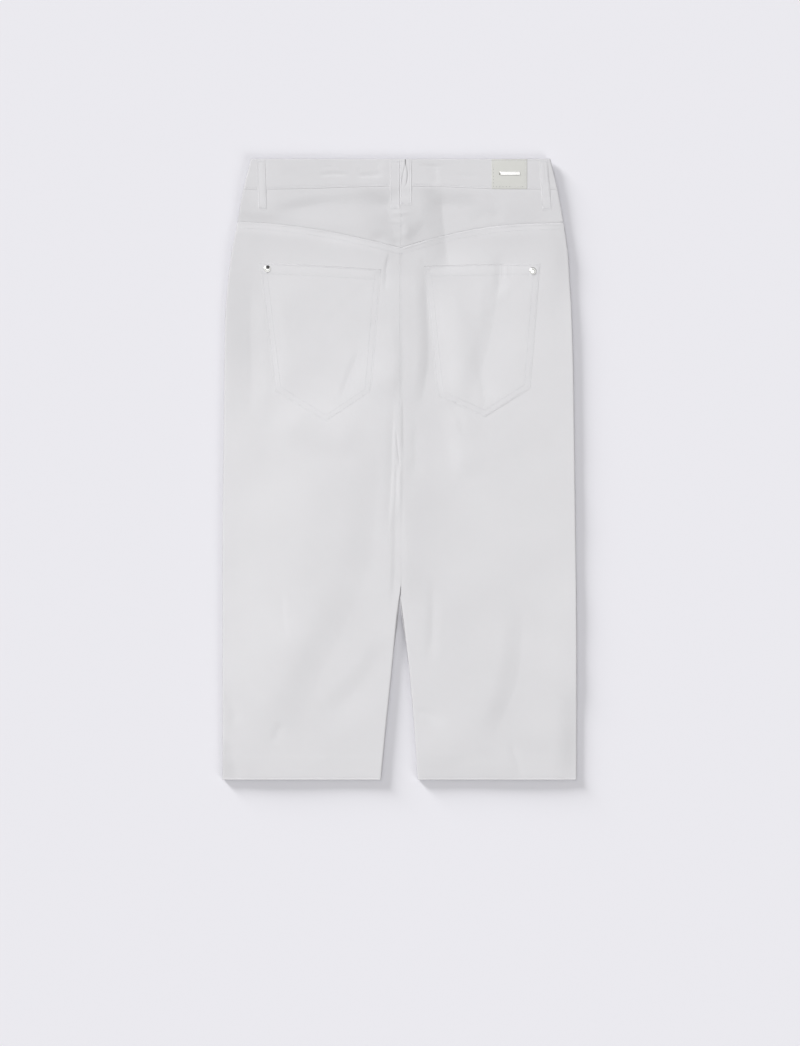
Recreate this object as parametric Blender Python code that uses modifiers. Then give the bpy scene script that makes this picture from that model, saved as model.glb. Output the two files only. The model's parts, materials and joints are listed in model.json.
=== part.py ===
"""Capri trousers laid flat with their back side up.

Each cloth piece is a wall with the outline a maker would cut, laid in its place: two front panels under two
back panels and a yoke, a waistband round both, two patch pockets and the belt loops, with a leather patch, its
metal bar, two rivets, a button and the zip. Units are metres, +Z is up and +Y runs to the waist. The origin is
on the surface that the trousers lie on, under the middle of their box. Depths are measured down from the top
edge of the waistband, and left and right are as seen from above.
"""

import math
from collections import namedtuple

import bmesh
import bpy
import numpy as np
from mathutils import Vector

# ---- Driving dimensions --------------------------------------------------------------------------------------

LENGTH = 0.788  # waist to hem
CENTRE_X = 0.0020  # centre seam
FORK_DEPTH = 0.350  # where the seat divides into two legs
FORK_TOP = 0.320
LEGS_PART_DEPTH = 0.539  # the legs lie against each other down to here

GAP = 0.0003  # between neighbouring pieces
WALL = 0.0012  # one thickness of trouser cloth
BAND_WALL = 0.0020  # waistband: two thicknesses and a stiffener
PATCH_WALL = 0.0010

BAND_SIDE_DEPTH = 0.0388  # lower edge of the waistband at the sides
BAND_CENTRE_DEPTH = 0.0343  # and at the centre back
BAND_HALF = 0.195
YOKE_SIDE_DEPTH = 0.0800  # yoke seam at the sides
YOKE_TIP_DEPTH = 0.1130  # and at its point
YOKE_HALF = 0.205
YOKE_CURVE = 2.1

# Heights above the surface: of the back's upper face, the front's lower face and the side seam between them.
BACK_LEVEL = 0.0046
BACK_WAIST_LEVEL = 0.0056
BAND_LEVEL = 0.0064
FRONT_WAIST_LEVEL = 0.0015  # the front waist rests on its two belt loops
SEAM_LEVEL = 0.00255
BAND_SEAM_LEVEL = 0.00395
WAIST_DEPTH = 0.040  # the waist's levels hold down to here
LEVEL_DEPTH = 0.110  # and the legs' levels from here
LOOP_CLEAR_DEPTH = 0.066
FRONT_FLAT_DEPTH = 0.092
EDGE_ROLL = 0.010  # width of the strip along an edge that bends to its seam
EDGE_STEPS = (0.003, 0.008)  # extra columns of corners in that strip

Section = namedtuple("Section", "depth left right")

# Outer edges of the trousers, from the waist to the hem.
SIDES = (
    Section(depth=0.000, left=-0.1883, right=0.1915),
    Section(depth=0.040, left=-0.1984, right=0.1997),
    Section(depth=0.078, left=-0.2052, right=0.2067),
    Section(depth=0.123, left=-0.2137, right=0.2137),
    Section(depth=0.154, left=-0.2175, right=0.2156),
    Section(depth=0.180, left=-0.2200, right=0.2175),
    Section(depth=0.243, left=-0.2218, right=0.2200),
    Section(depth=0.357, left=-0.2232, right=0.2219),
    Section(depth=0.472, left=-0.2245, right=0.2232),
    Section(depth=0.586, left=-0.2245, right=0.2245),
    Section(depth=LENGTH, left=-0.2245, right=0.2245),
)

# Centre seam, then the inner edge of each leg, which are straight between these.
INNER_EDGES = (
    Section(depth=0.000, left=CENTRE_X, right=CENTRE_X),
    Section(depth=LEGS_PART_DEPTH, left=CENTRE_X, right=CENTRE_X),
    Section(depth=0.561, left=-0.0015, right=0.0036),
    Section(depth=0.650, left=-0.0100, right=0.0142),
    Section(depth=0.723, left=-0.0171, right=0.0190),
    Section(depth=LENGTH, left=-0.0233, right=0.0233),
)

Fold = namedtuple("Fold", "x depth end_x end_depth bow reach rise")

# The largest folds of the back: a line from one end to the other, bowed sideways, with its half width and rise.
FOLDS = (
    Fold(x=-0.046, depth=0.380, end_x=-0.152, end_depth=0.722, bow=0.022, reach=0.034, rise=-0.0016),
    Fold(x=-0.020, depth=0.500, end_x=-0.105, end_depth=0.690, bow=0.012, reach=0.030, rise=0.0024),
    Fold(x=-0.006, depth=0.573, end_x=-0.107, end_depth=0.707, bow=0.006, reach=0.022, rise=-0.0013),
    Fold(x=-0.110, depth=0.420, end_x=-0.180, end_depth=0.700, bow=0.010, reach=0.048, rise=0.0026),
    Fold(x=-0.193, depth=0.185, end_x=-0.193, end_depth=0.330, bow=0.000, reach=0.022, rise=-0.0012),
    Fold(x=-0.092, depth=0.170, end_x=-0.085, end_depth=0.320, bow=0.000, reach=0.070, rise=0.0018),
    Fold(x=0.031, depth=0.128, end_x=0.006, end_depth=0.345, bow=0.008, reach=0.026, rise=-0.0014),
    Fold(x=0.131, depth=0.120, end_x=0.080, end_depth=0.300, bow=0.004, reach=0.026, rise=-0.0012),
    Fold(x=0.058, depth=0.190, end_x=0.066, end_depth=0.300, bow=0.000, reach=0.026, rise=0.0020),
    Fold(x=0.068, depth=0.335, end_x=0.062, end_depth=0.470, bow=0.000, reach=0.030, rise=0.0018),
    Fold(x=0.149, depth=0.590, end_x=0.110, end_depth=0.725, bow=0.008, reach=0.026, rise=-0.0015),
    Fold(x=0.105, depth=0.520, end_x=0.075, end_depth=0.690, bow=0.000, reach=0.034, rise=0.0022),
)

COLUMNS = {"back": 16, "front": 9, "yoke": 12, "band": 22, "front_band": 10}
ROWS = {"back": 26, "front": 15, "yoke": 4, "band": 2}

# Corners of each patch pocket as (x, depth), anticlockwise from its top left.
POCKETS = {
    "left": ((-0.1775, 0.1320), (-0.1582, 0.2940), (-0.0930, 0.3346), (-0.0359, 0.2965), (-0.0232, 0.1403)),
    "right": ((0.0312, 0.1359), (0.0479, 0.3004), (0.1085, 0.3277), (0.1661, 0.2915), (0.1786, 0.1334)),
}
RIVETS = {"left": (-0.1676, 0.1397), "right": (0.1692, 0.1422)}
RIVET_RADIUS = 0.0045
RIVET_HEIGHT = 0.0018

Loop = namedtuple("Loop", "top_x end_x end_depth width bow")

# Belt loops over the back waistband: the middle of the top end and of the lower end.
BACK_LOOPS = {
    "loop_side_left": Loop(top_x=-0.1755, end_x=-0.1738, end_depth=0.0650, width=0.0110, bow=0.0016),
    "loop_centre_left": Loop(top_x=-0.0058, end_x=-0.0062, end_depth=0.0625, width=0.0118, bow=0.0016),
    "loop_centre_right": Loop(top_x=0.0084, end_x=0.0082, end_depth=0.0585, width=0.0146, bow=0.0018),
    "loop_side_right": Loop(top_x=0.1822, end_x=0.1873, end_depth=0.0650, width=0.0110, bow=0.0016),
}
FRONT_LOOP_X = {"loop_front_left": -0.094, "loop_front_right": 0.098}
FRONT_LOOP_WIDTH = 0.0110
LOOP_TOP_DEPTH = 0.0012
LOOP_ROWS = 10
LOOP_STEP = 0.012  # length over which a loop comes down from the waistband to the yoke

PATCH = ((0.1170, 0.0006), (0.1170, 0.0384), (0.1624, 0.0384), (0.1624, 0.0006))
BAR_PLACE = (0.1397, 0.0185)
BAR_SIZE = (0.0275, 0.0062, 0.0015)
BAR_EDGE = 0.0005

ZIP_WIDTH = 0.024
ZIP_WALL = 0.0008
ZIP_DEPTHS = (0.041, 0.185)
ZIP_ROWS = 8
BUTTON_PLACE = (-0.0110, 0.0190)
BUTTON_RADIUS = 0.0085
BUTTON_HEIGHT = 0.0012

ROUND_STEPS = 20
LAY_PASSES = 4  # each pass brings a corner's depth and its place across closer to each other
MERGE = 0.00001

CLOTH = ((0.80, 0.80, 0.82), 0.85, 0.0)
LEATHER = ((0.72, 0.71, 0.66), 0.55, 0.0)
METAL = ((0.80, 0.80, 0.78), 0.18, 1.0)
ZIP_TAPE = ((0.78, 0.78, 0.80), 0.75, 0.0)

# ---- Setting up ----------------------------------------------------------------------------------------------


def clear_scene():
    for leftover in list(bpy.data.objects):
        bpy.data.objects.remove(leftover, do_unlink=True)


def named_collection(name):
    collection = bpy.data.collections.new(name)
    bpy.context.scene.collection.children.link(collection)
    return collection


def finish(name, colour, roughness, metallic):
    material = bpy.data.materials.new(name)
    material.use_nodes = True
    shader = material.node_tree.nodes["Principled BSDF"]
    shader.inputs["Base Color"].default_value = (*colour, 1.0)
    shader.inputs["Roughness"].default_value = roughness
    shader.inputs["Metallic"].default_value = metallic
    return material


def add_piece(name, mesh, look):
    """An object with its own material, in the trousers' collection, parented to their origin."""
    piece = bpy.data.objects.new(name, mesh)
    TROUSERS.objects.link(piece)
    piece.parent = ORIGIN
    mesh.materials.append(finish(name, *look))
    return piece


# ---- The garment's outline and heights -----------------------------------------------------------------------


def ramp(value, start, end):
    """0 before start and 1 after end, with a smooth rise between."""
    part = min(max((value - start) / (end - start), 0.0), 1.0)
    return part * part * (3.0 - 2.0 * part)


class SmoothCurve:
    """A smooth curve through values given at increasing depths."""

    def __init__(self, depths, values):
        self.depths = depths
        self.values = values
        self.slopes = np.gradient(values, depths)

    def __call__(self, depth):
        last_row = len(self.depths) - 2
        row = int(np.clip(np.searchsorted(self.depths, depth) - 1, 0, last_row))
        span = self.depths[row + 1] - self.depths[row]
        part = min(max((depth - self.depths[row]) / span, 0.0), 1.0)
        rise = part * part * (3.0 - 2.0 * part)
        leave = part * (1.0 - part) ** 2 * span * self.slopes[row]
        arrive = part * part * (part - 1.0) * span * self.slopes[row + 1]
        return self.values[row] * (1.0 - rise) + self.values[row + 1] * rise + leave + arrive


SIDE_CURVES = {
    "left": SmoothCurve([row.depth for row in SIDES], [row.left for row in SIDES]),
    "right": SmoothCurve([row.depth for row in SIDES], [row.right for row in SIDES]),
}


def side_of(x):
    return "left" if x < CENTRE_X else "right"


def outer_x(side, depth):
    return float(SIDE_CURVES[side](depth))


def inner_x(side, depth):
    depths = [row.depth for row in INNER_EDGES]
    if side == "left":
        return float(np.interp(depth, depths, [row.left for row in INNER_EDGES])) - GAP / 2
    return float(np.interp(depth, depths, [row.right for row in INNER_EDGES])) + GAP / 2


def band_depth(x):
    """Depth of the waistband's lower edge, which rises a little at the centre."""
    aside = max(1.0 - abs(x - CENTRE_X) / BAND_HALF, 0.0)
    return BAND_SIDE_DEPTH - (BAND_SIDE_DEPTH - BAND_CENTRE_DEPTH) * aside ** 2


def yoke_depth(x):
    """Depth of the yoke seam, a V with hollow sides."""
    aside = max(1.0 - abs(x - CENTRE_X) / YOKE_HALF, 0.0)
    return YOKE_SIDE_DEPTH + (YOKE_TIP_DEPTH - YOKE_SIDE_DEPTH) * aside ** YOKE_CURVE


def roll(x, depth):
    """0 at an outer edge or an inseam, 1 from the inner side of the strip that bends to it."""
    side = side_of(x)
    seat = 1.0 - ramp(depth, FORK_TOP, FORK_DEPTH)
    to_side = abs(outer_x(side, depth) - x)
    to_inseam = abs(x - inner_x(side, depth)) + EDGE_ROLL * seat
    part = min(to_side, to_inseam, EDGE_ROLL) / EDGE_ROLL
    return 1.0 - (1.0 - part) ** 2


def fold_height(x, depth):
    total = 0.0
    for fold in FOLDS:
        run_x = fold.end_x - fold.x
        run_depth = fold.end_depth - fold.depth
        length = math.hypot(run_x, run_depth)
        part = ((x - fold.x) * run_x + (depth - fold.depth) * run_depth) / length ** 2
        aside = ((x - fold.x) * run_depth - (depth - fold.depth) * run_x) / length
        aside -= fold.bow * 4.0 * part * (1.0 - part)
        if 0.0 < part < 1.0 and abs(aside) < fold.reach:
            taper = ramp(part, 0.0, 0.3) * (1.0 - ramp(part, 0.7, 1.0))
            total += fold.rise * taper * (0.5 + 0.5 * math.cos(math.pi * aside / fold.reach))
    return total


def at_waist(depth):
    return 1.0 - ramp(depth, WAIST_DEPTH, LEVEL_DEPTH)


def seam_level(depth):
    return SEAM_LEVEL + (BAND_SEAM_LEVEL - SEAM_LEVEL) * at_waist(depth)


def back_height(x, depth):
    """Upper face of the back panels and the yoke."""
    level = BACK_LEVEL + (BACK_WAIST_LEVEL - BACK_LEVEL) * at_waist(depth) + fold_height(x, depth)
    edge = seam_level(depth) + GAP / 2 + WALL
    return edge + (level - edge) * roll(x, depth)


def front_height(x, depth):
    """Lower face of the front panels."""
    level = FRONT_WAIST_LEVEL * (1.0 - ramp(depth, LOOP_CLEAR_DEPTH, FRONT_FLAT_DEPTH))
    edge = seam_level(depth) - GAP / 2 - WALL
    return edge + (level - edge) * roll(x, depth)


def back_band_height(x, depth):
    edge = BAND_SEAM_LEVEL + GAP / 2 + BAND_WALL
    return edge + (BAND_LEVEL - edge) * roll(x, depth)


def front_band_height(x, depth):
    edge = BAND_SEAM_LEVEL - GAP / 2 - BAND_WALL
    return edge + (FRONT_WAIST_LEVEL - edge) * roll(x, depth)


# ---- Cloth pieces --------------------------------------------------------------------------------------------


def column_place(column, columns, width):
    """Distance across a piece of one column of its corners: close to its edges, even between them."""
    steps = (0.0, *EDGE_STEPS)
    if column < len(steps):
        return steps[column]
    if columns - column < len(steps):
        return width - steps[columns - column]
    inner = (column - len(EDGE_STEPS)) / (columns - 2 * len(EDGE_STEPS))
    return EDGE_STEPS[-1] + (width - 2 * EDGE_STEPS[-1]) * inner


def even_rows(rows):
    """Parts of a piece's length at which its rows of corners lie."""
    return [row / rows for row in range(rows + 1)]


def front_rows():
    """Even rows down the front, after three that follow its rise on to the belt loops."""
    length = LENGTH - BAND_SIDE_DEPTH
    rise_depths = (LOOP_CLEAR_DEPTH, (LOOP_CLEAR_DEPTH + FRONT_FLAT_DEPTH) / 2, FRONT_FLAT_DEPTH)
    rise = [(depth - BAND_SIDE_DEPTH) / length for depth in rise_depths]
    return [0.0, *rise, *(rise[-1] + (1.0 - rise[-1]) * part for part in even_rows(ROWS["front"])[1:])]


def cloth_sheet(columns, rows, edges, top, bottom, height):
    """Open sheet between two edges and two seams: edges gives both x at a depth, top and bottom a depth at x."""
    sheet = bmesh.new()
    last_row = len(rows) - 1
    bmesh.ops.create_grid(sheet, x_segments=columns, y_segments=last_row, size=0.5)
    for corner in sheet.verts:
        column = round((corner.co.x + 0.5) * columns)
        down = rows[round((0.5 - corner.co.y) * last_row)]
        depth = LENGTH * down
        for _ in range(LAY_PASSES):
            left, right = edges(depth)
            x = left + column_place(column, columns, right - left)
            depth = top(x) + (bottom(x) - top(x)) * down
        corner.co = (x, LENGTH / 2 - depth, height(x, depth))
    bmesh.ops.triangulate(sheet, faces=sheet.faces[:])
    return sheet


def add_wall(name, sheet, wall, look, face_down=False):
    """Makes a sheet a closed wall whose outer face is the sheet."""
    if face_down:
        bmesh.ops.reverse_faces(sheet, faces=sheet.faces[:])
    mesh = bpy.data.meshes.new(name)
    sheet.to_mesh(mesh)
    sheet.free()
    piece = add_piece(name, mesh, look)
    thicken = piece.modifiers.new("wall", "SOLIDIFY")
    thicken.thickness = wall
    thicken.offset = -1.0
    return piece


def panel_edges(side):
    """Gives the left and right edge of one half of the trousers at a depth."""
    if side == "left":
        return lambda depth: (outer_x(side, depth), inner_x(side, depth))
    return lambda depth: (inner_x(side, depth), outer_x(side, depth))


def full_edges(depth):
    return outer_x("left", depth), outer_x("right", depth)


def waist_line(_):
    return 0.0


def hem_line(_):
    return LENGTH


def above(seam):
    return lambda x: seam(x) - GAP / 2


def below(seam):
    return lambda x: seam(x) + GAP / 2


def add_back_panel(side):
    sheet = cloth_sheet(
        COLUMNS["back"], even_rows(ROWS["back"]), panel_edges(side), below(yoke_depth), hem_line, back_height
    )
    return add_wall("back_" + side, sheet, WALL, CLOTH)


def add_yoke(side):
    rows = even_rows(ROWS["yoke"])
    sheet = cloth_sheet(
        COLUMNS["yoke"], rows, panel_edges(side), below(band_depth), above(yoke_depth), back_height
    )
    return add_wall("yoke_" + side, sheet, WALL, CLOTH)


def add_front_panel(side):
    sheet = cloth_sheet(
        COLUMNS["front"], front_rows(), panel_edges(side), below(band_depth), hem_line, front_height
    )
    return add_wall("front_" + side, sheet, WALL, CLOTH, face_down=True)


def add_back_band():
    rows = even_rows(ROWS["band"])
    sheet = cloth_sheet(COLUMNS["band"], rows, full_edges, waist_line, above(band_depth), back_band_height)
    return add_wall("waistband_back", sheet, BAND_WALL, CLOTH)


def add_front_band(side):
    rows = even_rows(ROWS["band"])
    sheet = cloth_sheet(
        COLUMNS["front_band"], rows, panel_edges(side), waist_line, above(band_depth), front_band_height
    )
    return add_wall("waistband_front_" + side, sheet, BAND_WALL, CLOTH, face_down=True)


def cut_from(piece, outline, lift):
    """A copy of a piece's sheet, trimmed to a convex outline of (x, depth) corners and moved up."""
    sheet = bmesh.new()
    sheet.from_mesh(piece.data)
    corners = [Vector((x, LENGTH / 2 - depth, 0.0)) for x, depth in outline]
    for corner, following in zip(corners, corners[1:] + corners[:1]):
        outward = (following - corner).cross(Vector((0.0, 0.0, 1.0)))
        geometry = sheet.verts[:] + sheet.edges[:] + sheet.faces[:]
        bmesh.ops.bisect_plane(
            sheet, geom=geometry, dist=MERGE, plane_co=corner, plane_no=outward, clear_outer=True
        )
    bmesh.ops.translate(sheet, vec=(0.0, 0.0, lift), verts=sheet.verts[:])
    return sheet


def add_pocket(side, panel):
    sheet = cut_from(panel, POCKETS[side], GAP + WALL)
    return add_wall("pocket_" + side, sheet, WALL, CLOTH)


def add_patch(band):
    sheet = cut_from(band, PATCH, GAP + PATCH_WALL)
    return add_wall("patch", sheet, PATCH_WALL, LEATHER)


def loop_height(x, depth, loop):
    """Upper face of a belt loop, which rests on the waistband and the yoke and bows up between its ends."""
    yoke = back_height(x, depth)
    lowering = ramp(depth, band_depth(x), band_depth(x) + LOOP_STEP)
    support = BAND_LEVEL + (yoke - BAND_LEVEL) * lowering
    part = (depth - LOOP_TOP_DEPTH) / (loop.end_depth - LOOP_TOP_DEPTH)
    return support + GAP + WALL + loop.bow * 4.0 * part * (1.0 - part)


def add_back_loop(name, loop):
    sheet = bmesh.new()
    bmesh.ops.create_grid(sheet, x_segments=1, y_segments=LOOP_ROWS, size=0.5)
    for corner in sheet.verts:
        down = 0.5 - corner.co.y
        depth = LOOP_TOP_DEPTH + (loop.end_depth - LOOP_TOP_DEPTH) * down
        middle = loop.top_x + (loop.end_x - loop.top_x) * down
        height = loop_height(middle, depth, loop)
        corner.co = (middle + corner.co.x * loop.width, LENGTH / 2 - depth, height)
    return add_wall(name, sheet, WALL, CLOTH)


def add_front_loop(name, x):
    """A flat loop under the front waistband, on the surface that the trousers lie on."""
    length = LOOP_CLEAR_DEPTH - WALL - 2 * LOOP_TOP_DEPTH
    sheet = bmesh.new()
    bmesh.ops.create_grid(sheet, x_segments=1, y_segments=LOOP_ROWS // 2, size=0.5)
    bmesh.ops.scale(sheet, vec=(FRONT_LOOP_WIDTH, length, 1.0), verts=sheet.verts[:])
    middle_y = LENGTH / 2 - LOOP_TOP_DEPTH - length / 2
    bmesh.ops.translate(sheet, vec=(x, middle_y, 0.0), verts=sheet.verts[:])
    return add_wall(name, sheet, WALL, CLOTH, face_down=True)


def add_zip():
    """The zip's tapes, closed, on the inner face of the front panels."""
    start, end = ZIP_DEPTHS
    sheet = bmesh.new()
    bmesh.ops.create_grid(sheet, x_segments=2, y_segments=ZIP_ROWS, size=0.5)
    for corner in sheet.verts:
        depth = start + (end - start) * (0.5 - corner.co.y)
        height = front_height(CENTRE_X, depth) + WALL + GAP
        corner.co = (CENTRE_X + corner.co.x * ZIP_WIDTH, LENGTH / 2 - depth, height)
    return add_wall("zip", sheet, ZIP_WALL, ZIP_TAPE, face_down=True)


# ---- Hard trim -----------------------------------------------------------------------------------------------


def add_turned(name, profile, look):
    """A solid of revolution: the profile of (radius, height) runs from the top of its axis to the bottom."""
    mesh = bpy.data.meshes.new(name)
    outline = bmesh.new()
    points = [outline.verts.new((radius, 0.0, height)) for radius, height in profile]
    for point, following in zip(points, points[1:]):
        outline.edges.new((point, following))
    outline.to_mesh(mesh)
    outline.free()
    piece = add_piece(name, mesh, look)
    turn = piece.modifiers.new("turned", "SCREW")
    turn.steps = ROUND_STEPS
    turn.render_steps = ROUND_STEPS
    turn.use_merge_vertices = True
    turn.merge_threshold = MERGE
    turn.use_smooth_shade = True
    return piece


def add_rivet(side):
    """A domed rivet with a thin rim, standing on a pocket's outer top corner."""
    profile = (
        (0.0, RIVET_HEIGHT),
        (RIVET_RADIUS * 0.35, RIVET_HEIGHT * 0.95),
        (RIVET_RADIUS * 0.62, RIVET_HEIGHT * 0.72),
        (RIVET_RADIUS * 0.72, RIVET_HEIGHT * 0.45),
        (RIVET_RADIUS * 0.94, RIVET_HEIGHT * 0.40),
        (RIVET_RADIUS, RIVET_HEIGHT * 0.20),
        (RIVET_RADIUS, 0.0),
        (0.0, 0.0),
    )
    rivet = add_turned("rivet_" + side, profile, METAL)
    x, depth = RIVETS[side]
    pocket_top = back_height(x, depth) + GAP + WALL
    rivet.location = (x, LENGTH / 2 - depth, pocket_top + GAP)
    return rivet


def add_button():
    """The head of the waistband's button, under the front waistband, face down."""
    rim = BUTTON_RADIUS * 0.88
    profile = (
        (0.0, BUTTON_HEIGHT),
        (BUTTON_RADIUS, BUTTON_HEIGHT),
        (BUTTON_RADIUS, BUTTON_HEIGHT * 0.4),
        (rim, 0.0),
        (0.0, 0.0),
    )
    button = add_turned("button", profile, METAL)
    x, depth = BUTTON_PLACE
    button.location = (x, LENGTH / 2 - depth, 0.0)
    return button


def add_bar():
    """The plain metal bar on the leather patch."""
    bar = bmesh.new()
    bmesh.ops.create_cube(bar, size=1.0)
    bmesh.ops.scale(bar, vec=BAR_SIZE, verts=bar.verts[:])
    mesh = bpy.data.meshes.new("patch_bar")
    bar.to_mesh(mesh)
    bar.free()
    piece = add_piece("patch_bar", mesh, METAL)
    x, depth = BAR_PLACE
    patch_top = BAND_LEVEL + GAP + PATCH_WALL
    piece.location = (x, LENGTH / 2 - depth, patch_top + GAP + BAR_SIZE[2] / 2)
    rounding = piece.modifiers.new("rounded edges", "BEVEL")
    rounding.width = BAR_EDGE
    rounding.segments = 2
    return piece


# ---- Building ------------------------------------------------------------------------------------------------

clear_scene()
TROUSERS = named_collection("capri_trousers")
ORIGIN = bpy.data.objects.new("origin", None)
TROUSERS.objects.link(ORIGIN)

for half in ("left", "right"):
    add_front_panel(half)
    add_front_band(half)
    add_yoke(half)
    back_panel = add_back_panel(half)
    add_pocket(half, back_panel)
    add_rivet(half)

back_band = add_back_band()
add_patch(back_band)
add_bar()
add_zip()
add_button()

for loop_name, back_loop in BACK_LOOPS.items():
    add_back_loop(loop_name, back_loop)

for loop_name, loop_x in FRONT_LOOP_X.items():
    add_front_loop(loop_name, loop_x)
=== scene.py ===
# %% [markdown]
# Capri trousers in white stretch cotton, laid flat with their back side up. Every cloth piece is a thin
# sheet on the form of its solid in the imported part. Lengths are in metres, +Y runs to the waist, +Z is up. A
# "depth" is measured down from the top edge of the waistband, and left and right are as seen from above.

import json
import math
from collections import namedtuple
from functools import partial

import bmesh
import bpy
import numpy as np
from mathutils import Vector
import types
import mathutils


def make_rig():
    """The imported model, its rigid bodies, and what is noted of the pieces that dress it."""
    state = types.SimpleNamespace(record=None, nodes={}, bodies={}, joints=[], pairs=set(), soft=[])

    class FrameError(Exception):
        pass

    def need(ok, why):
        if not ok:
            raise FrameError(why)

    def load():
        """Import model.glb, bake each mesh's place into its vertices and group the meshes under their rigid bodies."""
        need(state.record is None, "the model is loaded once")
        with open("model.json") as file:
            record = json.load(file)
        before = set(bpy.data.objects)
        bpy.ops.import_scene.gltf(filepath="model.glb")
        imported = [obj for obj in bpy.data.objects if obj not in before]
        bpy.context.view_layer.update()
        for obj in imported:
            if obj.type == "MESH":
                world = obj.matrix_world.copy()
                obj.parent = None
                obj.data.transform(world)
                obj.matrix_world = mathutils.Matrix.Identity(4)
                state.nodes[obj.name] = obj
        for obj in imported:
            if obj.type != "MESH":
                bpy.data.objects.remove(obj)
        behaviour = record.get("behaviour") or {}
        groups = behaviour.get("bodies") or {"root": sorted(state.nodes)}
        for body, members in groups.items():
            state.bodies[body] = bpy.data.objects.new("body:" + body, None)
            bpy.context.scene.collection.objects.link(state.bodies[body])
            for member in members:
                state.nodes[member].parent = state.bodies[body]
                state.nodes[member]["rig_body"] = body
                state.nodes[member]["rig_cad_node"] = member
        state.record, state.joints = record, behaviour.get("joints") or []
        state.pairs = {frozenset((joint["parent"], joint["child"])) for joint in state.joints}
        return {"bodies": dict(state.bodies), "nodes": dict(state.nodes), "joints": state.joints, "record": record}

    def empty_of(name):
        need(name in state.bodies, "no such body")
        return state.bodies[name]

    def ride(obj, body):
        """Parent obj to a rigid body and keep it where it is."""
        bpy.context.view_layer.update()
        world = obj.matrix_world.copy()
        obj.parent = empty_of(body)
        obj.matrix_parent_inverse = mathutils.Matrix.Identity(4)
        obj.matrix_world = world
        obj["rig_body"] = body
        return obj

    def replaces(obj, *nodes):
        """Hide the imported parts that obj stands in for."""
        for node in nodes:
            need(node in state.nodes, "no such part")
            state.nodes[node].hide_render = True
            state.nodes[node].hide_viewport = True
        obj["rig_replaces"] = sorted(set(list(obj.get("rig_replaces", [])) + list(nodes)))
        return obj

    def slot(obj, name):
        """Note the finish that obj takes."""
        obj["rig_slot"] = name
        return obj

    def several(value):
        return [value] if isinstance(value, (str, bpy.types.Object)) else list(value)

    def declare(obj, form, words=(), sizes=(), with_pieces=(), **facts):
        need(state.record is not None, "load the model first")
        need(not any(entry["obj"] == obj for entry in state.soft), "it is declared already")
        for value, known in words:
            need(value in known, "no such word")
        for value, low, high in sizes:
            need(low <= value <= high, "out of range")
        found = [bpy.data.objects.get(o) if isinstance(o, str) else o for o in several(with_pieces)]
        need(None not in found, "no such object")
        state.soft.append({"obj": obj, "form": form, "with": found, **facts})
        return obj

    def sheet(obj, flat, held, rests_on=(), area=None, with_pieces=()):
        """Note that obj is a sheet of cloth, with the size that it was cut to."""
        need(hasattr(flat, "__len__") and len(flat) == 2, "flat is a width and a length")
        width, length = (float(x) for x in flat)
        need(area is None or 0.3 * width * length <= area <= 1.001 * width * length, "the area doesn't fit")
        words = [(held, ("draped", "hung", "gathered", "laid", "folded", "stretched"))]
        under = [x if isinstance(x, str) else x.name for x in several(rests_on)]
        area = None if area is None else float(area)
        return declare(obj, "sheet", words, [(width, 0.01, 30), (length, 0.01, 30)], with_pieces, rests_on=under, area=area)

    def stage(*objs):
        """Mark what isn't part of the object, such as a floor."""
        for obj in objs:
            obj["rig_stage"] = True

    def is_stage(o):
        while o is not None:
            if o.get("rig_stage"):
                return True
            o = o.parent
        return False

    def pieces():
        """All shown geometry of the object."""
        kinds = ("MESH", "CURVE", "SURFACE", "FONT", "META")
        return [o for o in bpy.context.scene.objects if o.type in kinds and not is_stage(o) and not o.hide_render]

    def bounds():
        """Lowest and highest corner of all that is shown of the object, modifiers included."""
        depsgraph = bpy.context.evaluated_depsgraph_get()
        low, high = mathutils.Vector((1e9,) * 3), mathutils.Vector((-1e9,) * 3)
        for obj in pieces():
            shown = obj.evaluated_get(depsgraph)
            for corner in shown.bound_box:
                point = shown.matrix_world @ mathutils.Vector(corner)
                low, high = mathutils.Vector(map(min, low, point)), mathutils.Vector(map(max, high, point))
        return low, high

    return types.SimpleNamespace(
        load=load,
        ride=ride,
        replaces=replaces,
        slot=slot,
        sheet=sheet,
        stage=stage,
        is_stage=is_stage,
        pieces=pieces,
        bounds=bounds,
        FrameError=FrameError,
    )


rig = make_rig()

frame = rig.load()
CAD_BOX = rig.bounds()
MM = 0.001
print("solids:", len(frame["nodes"]), "box:", [round(v, 4) for v in (*CAD_BOX[0], *CAD_BOX[1])])

# %% [markdown]
# A pattern cutter starts from the outline. The outer edges widen from the waist to the thigh and then hang
# straight, and below the fork each leg has its own inner edge. The measures are the solids' own, so that each
# sheet covers its solid. A smooth curve through a few rows of a table gives the edge at any depth.

# %% The outline
LENGTH = 0.788  # waist to hem
CENTRE_X = 0.0020  # centre seam
LEGS_PART_DEPTH = 0.539  # the legs lie against each other down to here
LEGS_PARTING = (0.505, LEGS_PART_DEPTH)  # their inner edges draw apart by a gap over this stretch
GAP = 0.0003  # between neighbouring pieces
SEAM_OVERLAP = 0.00008

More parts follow.
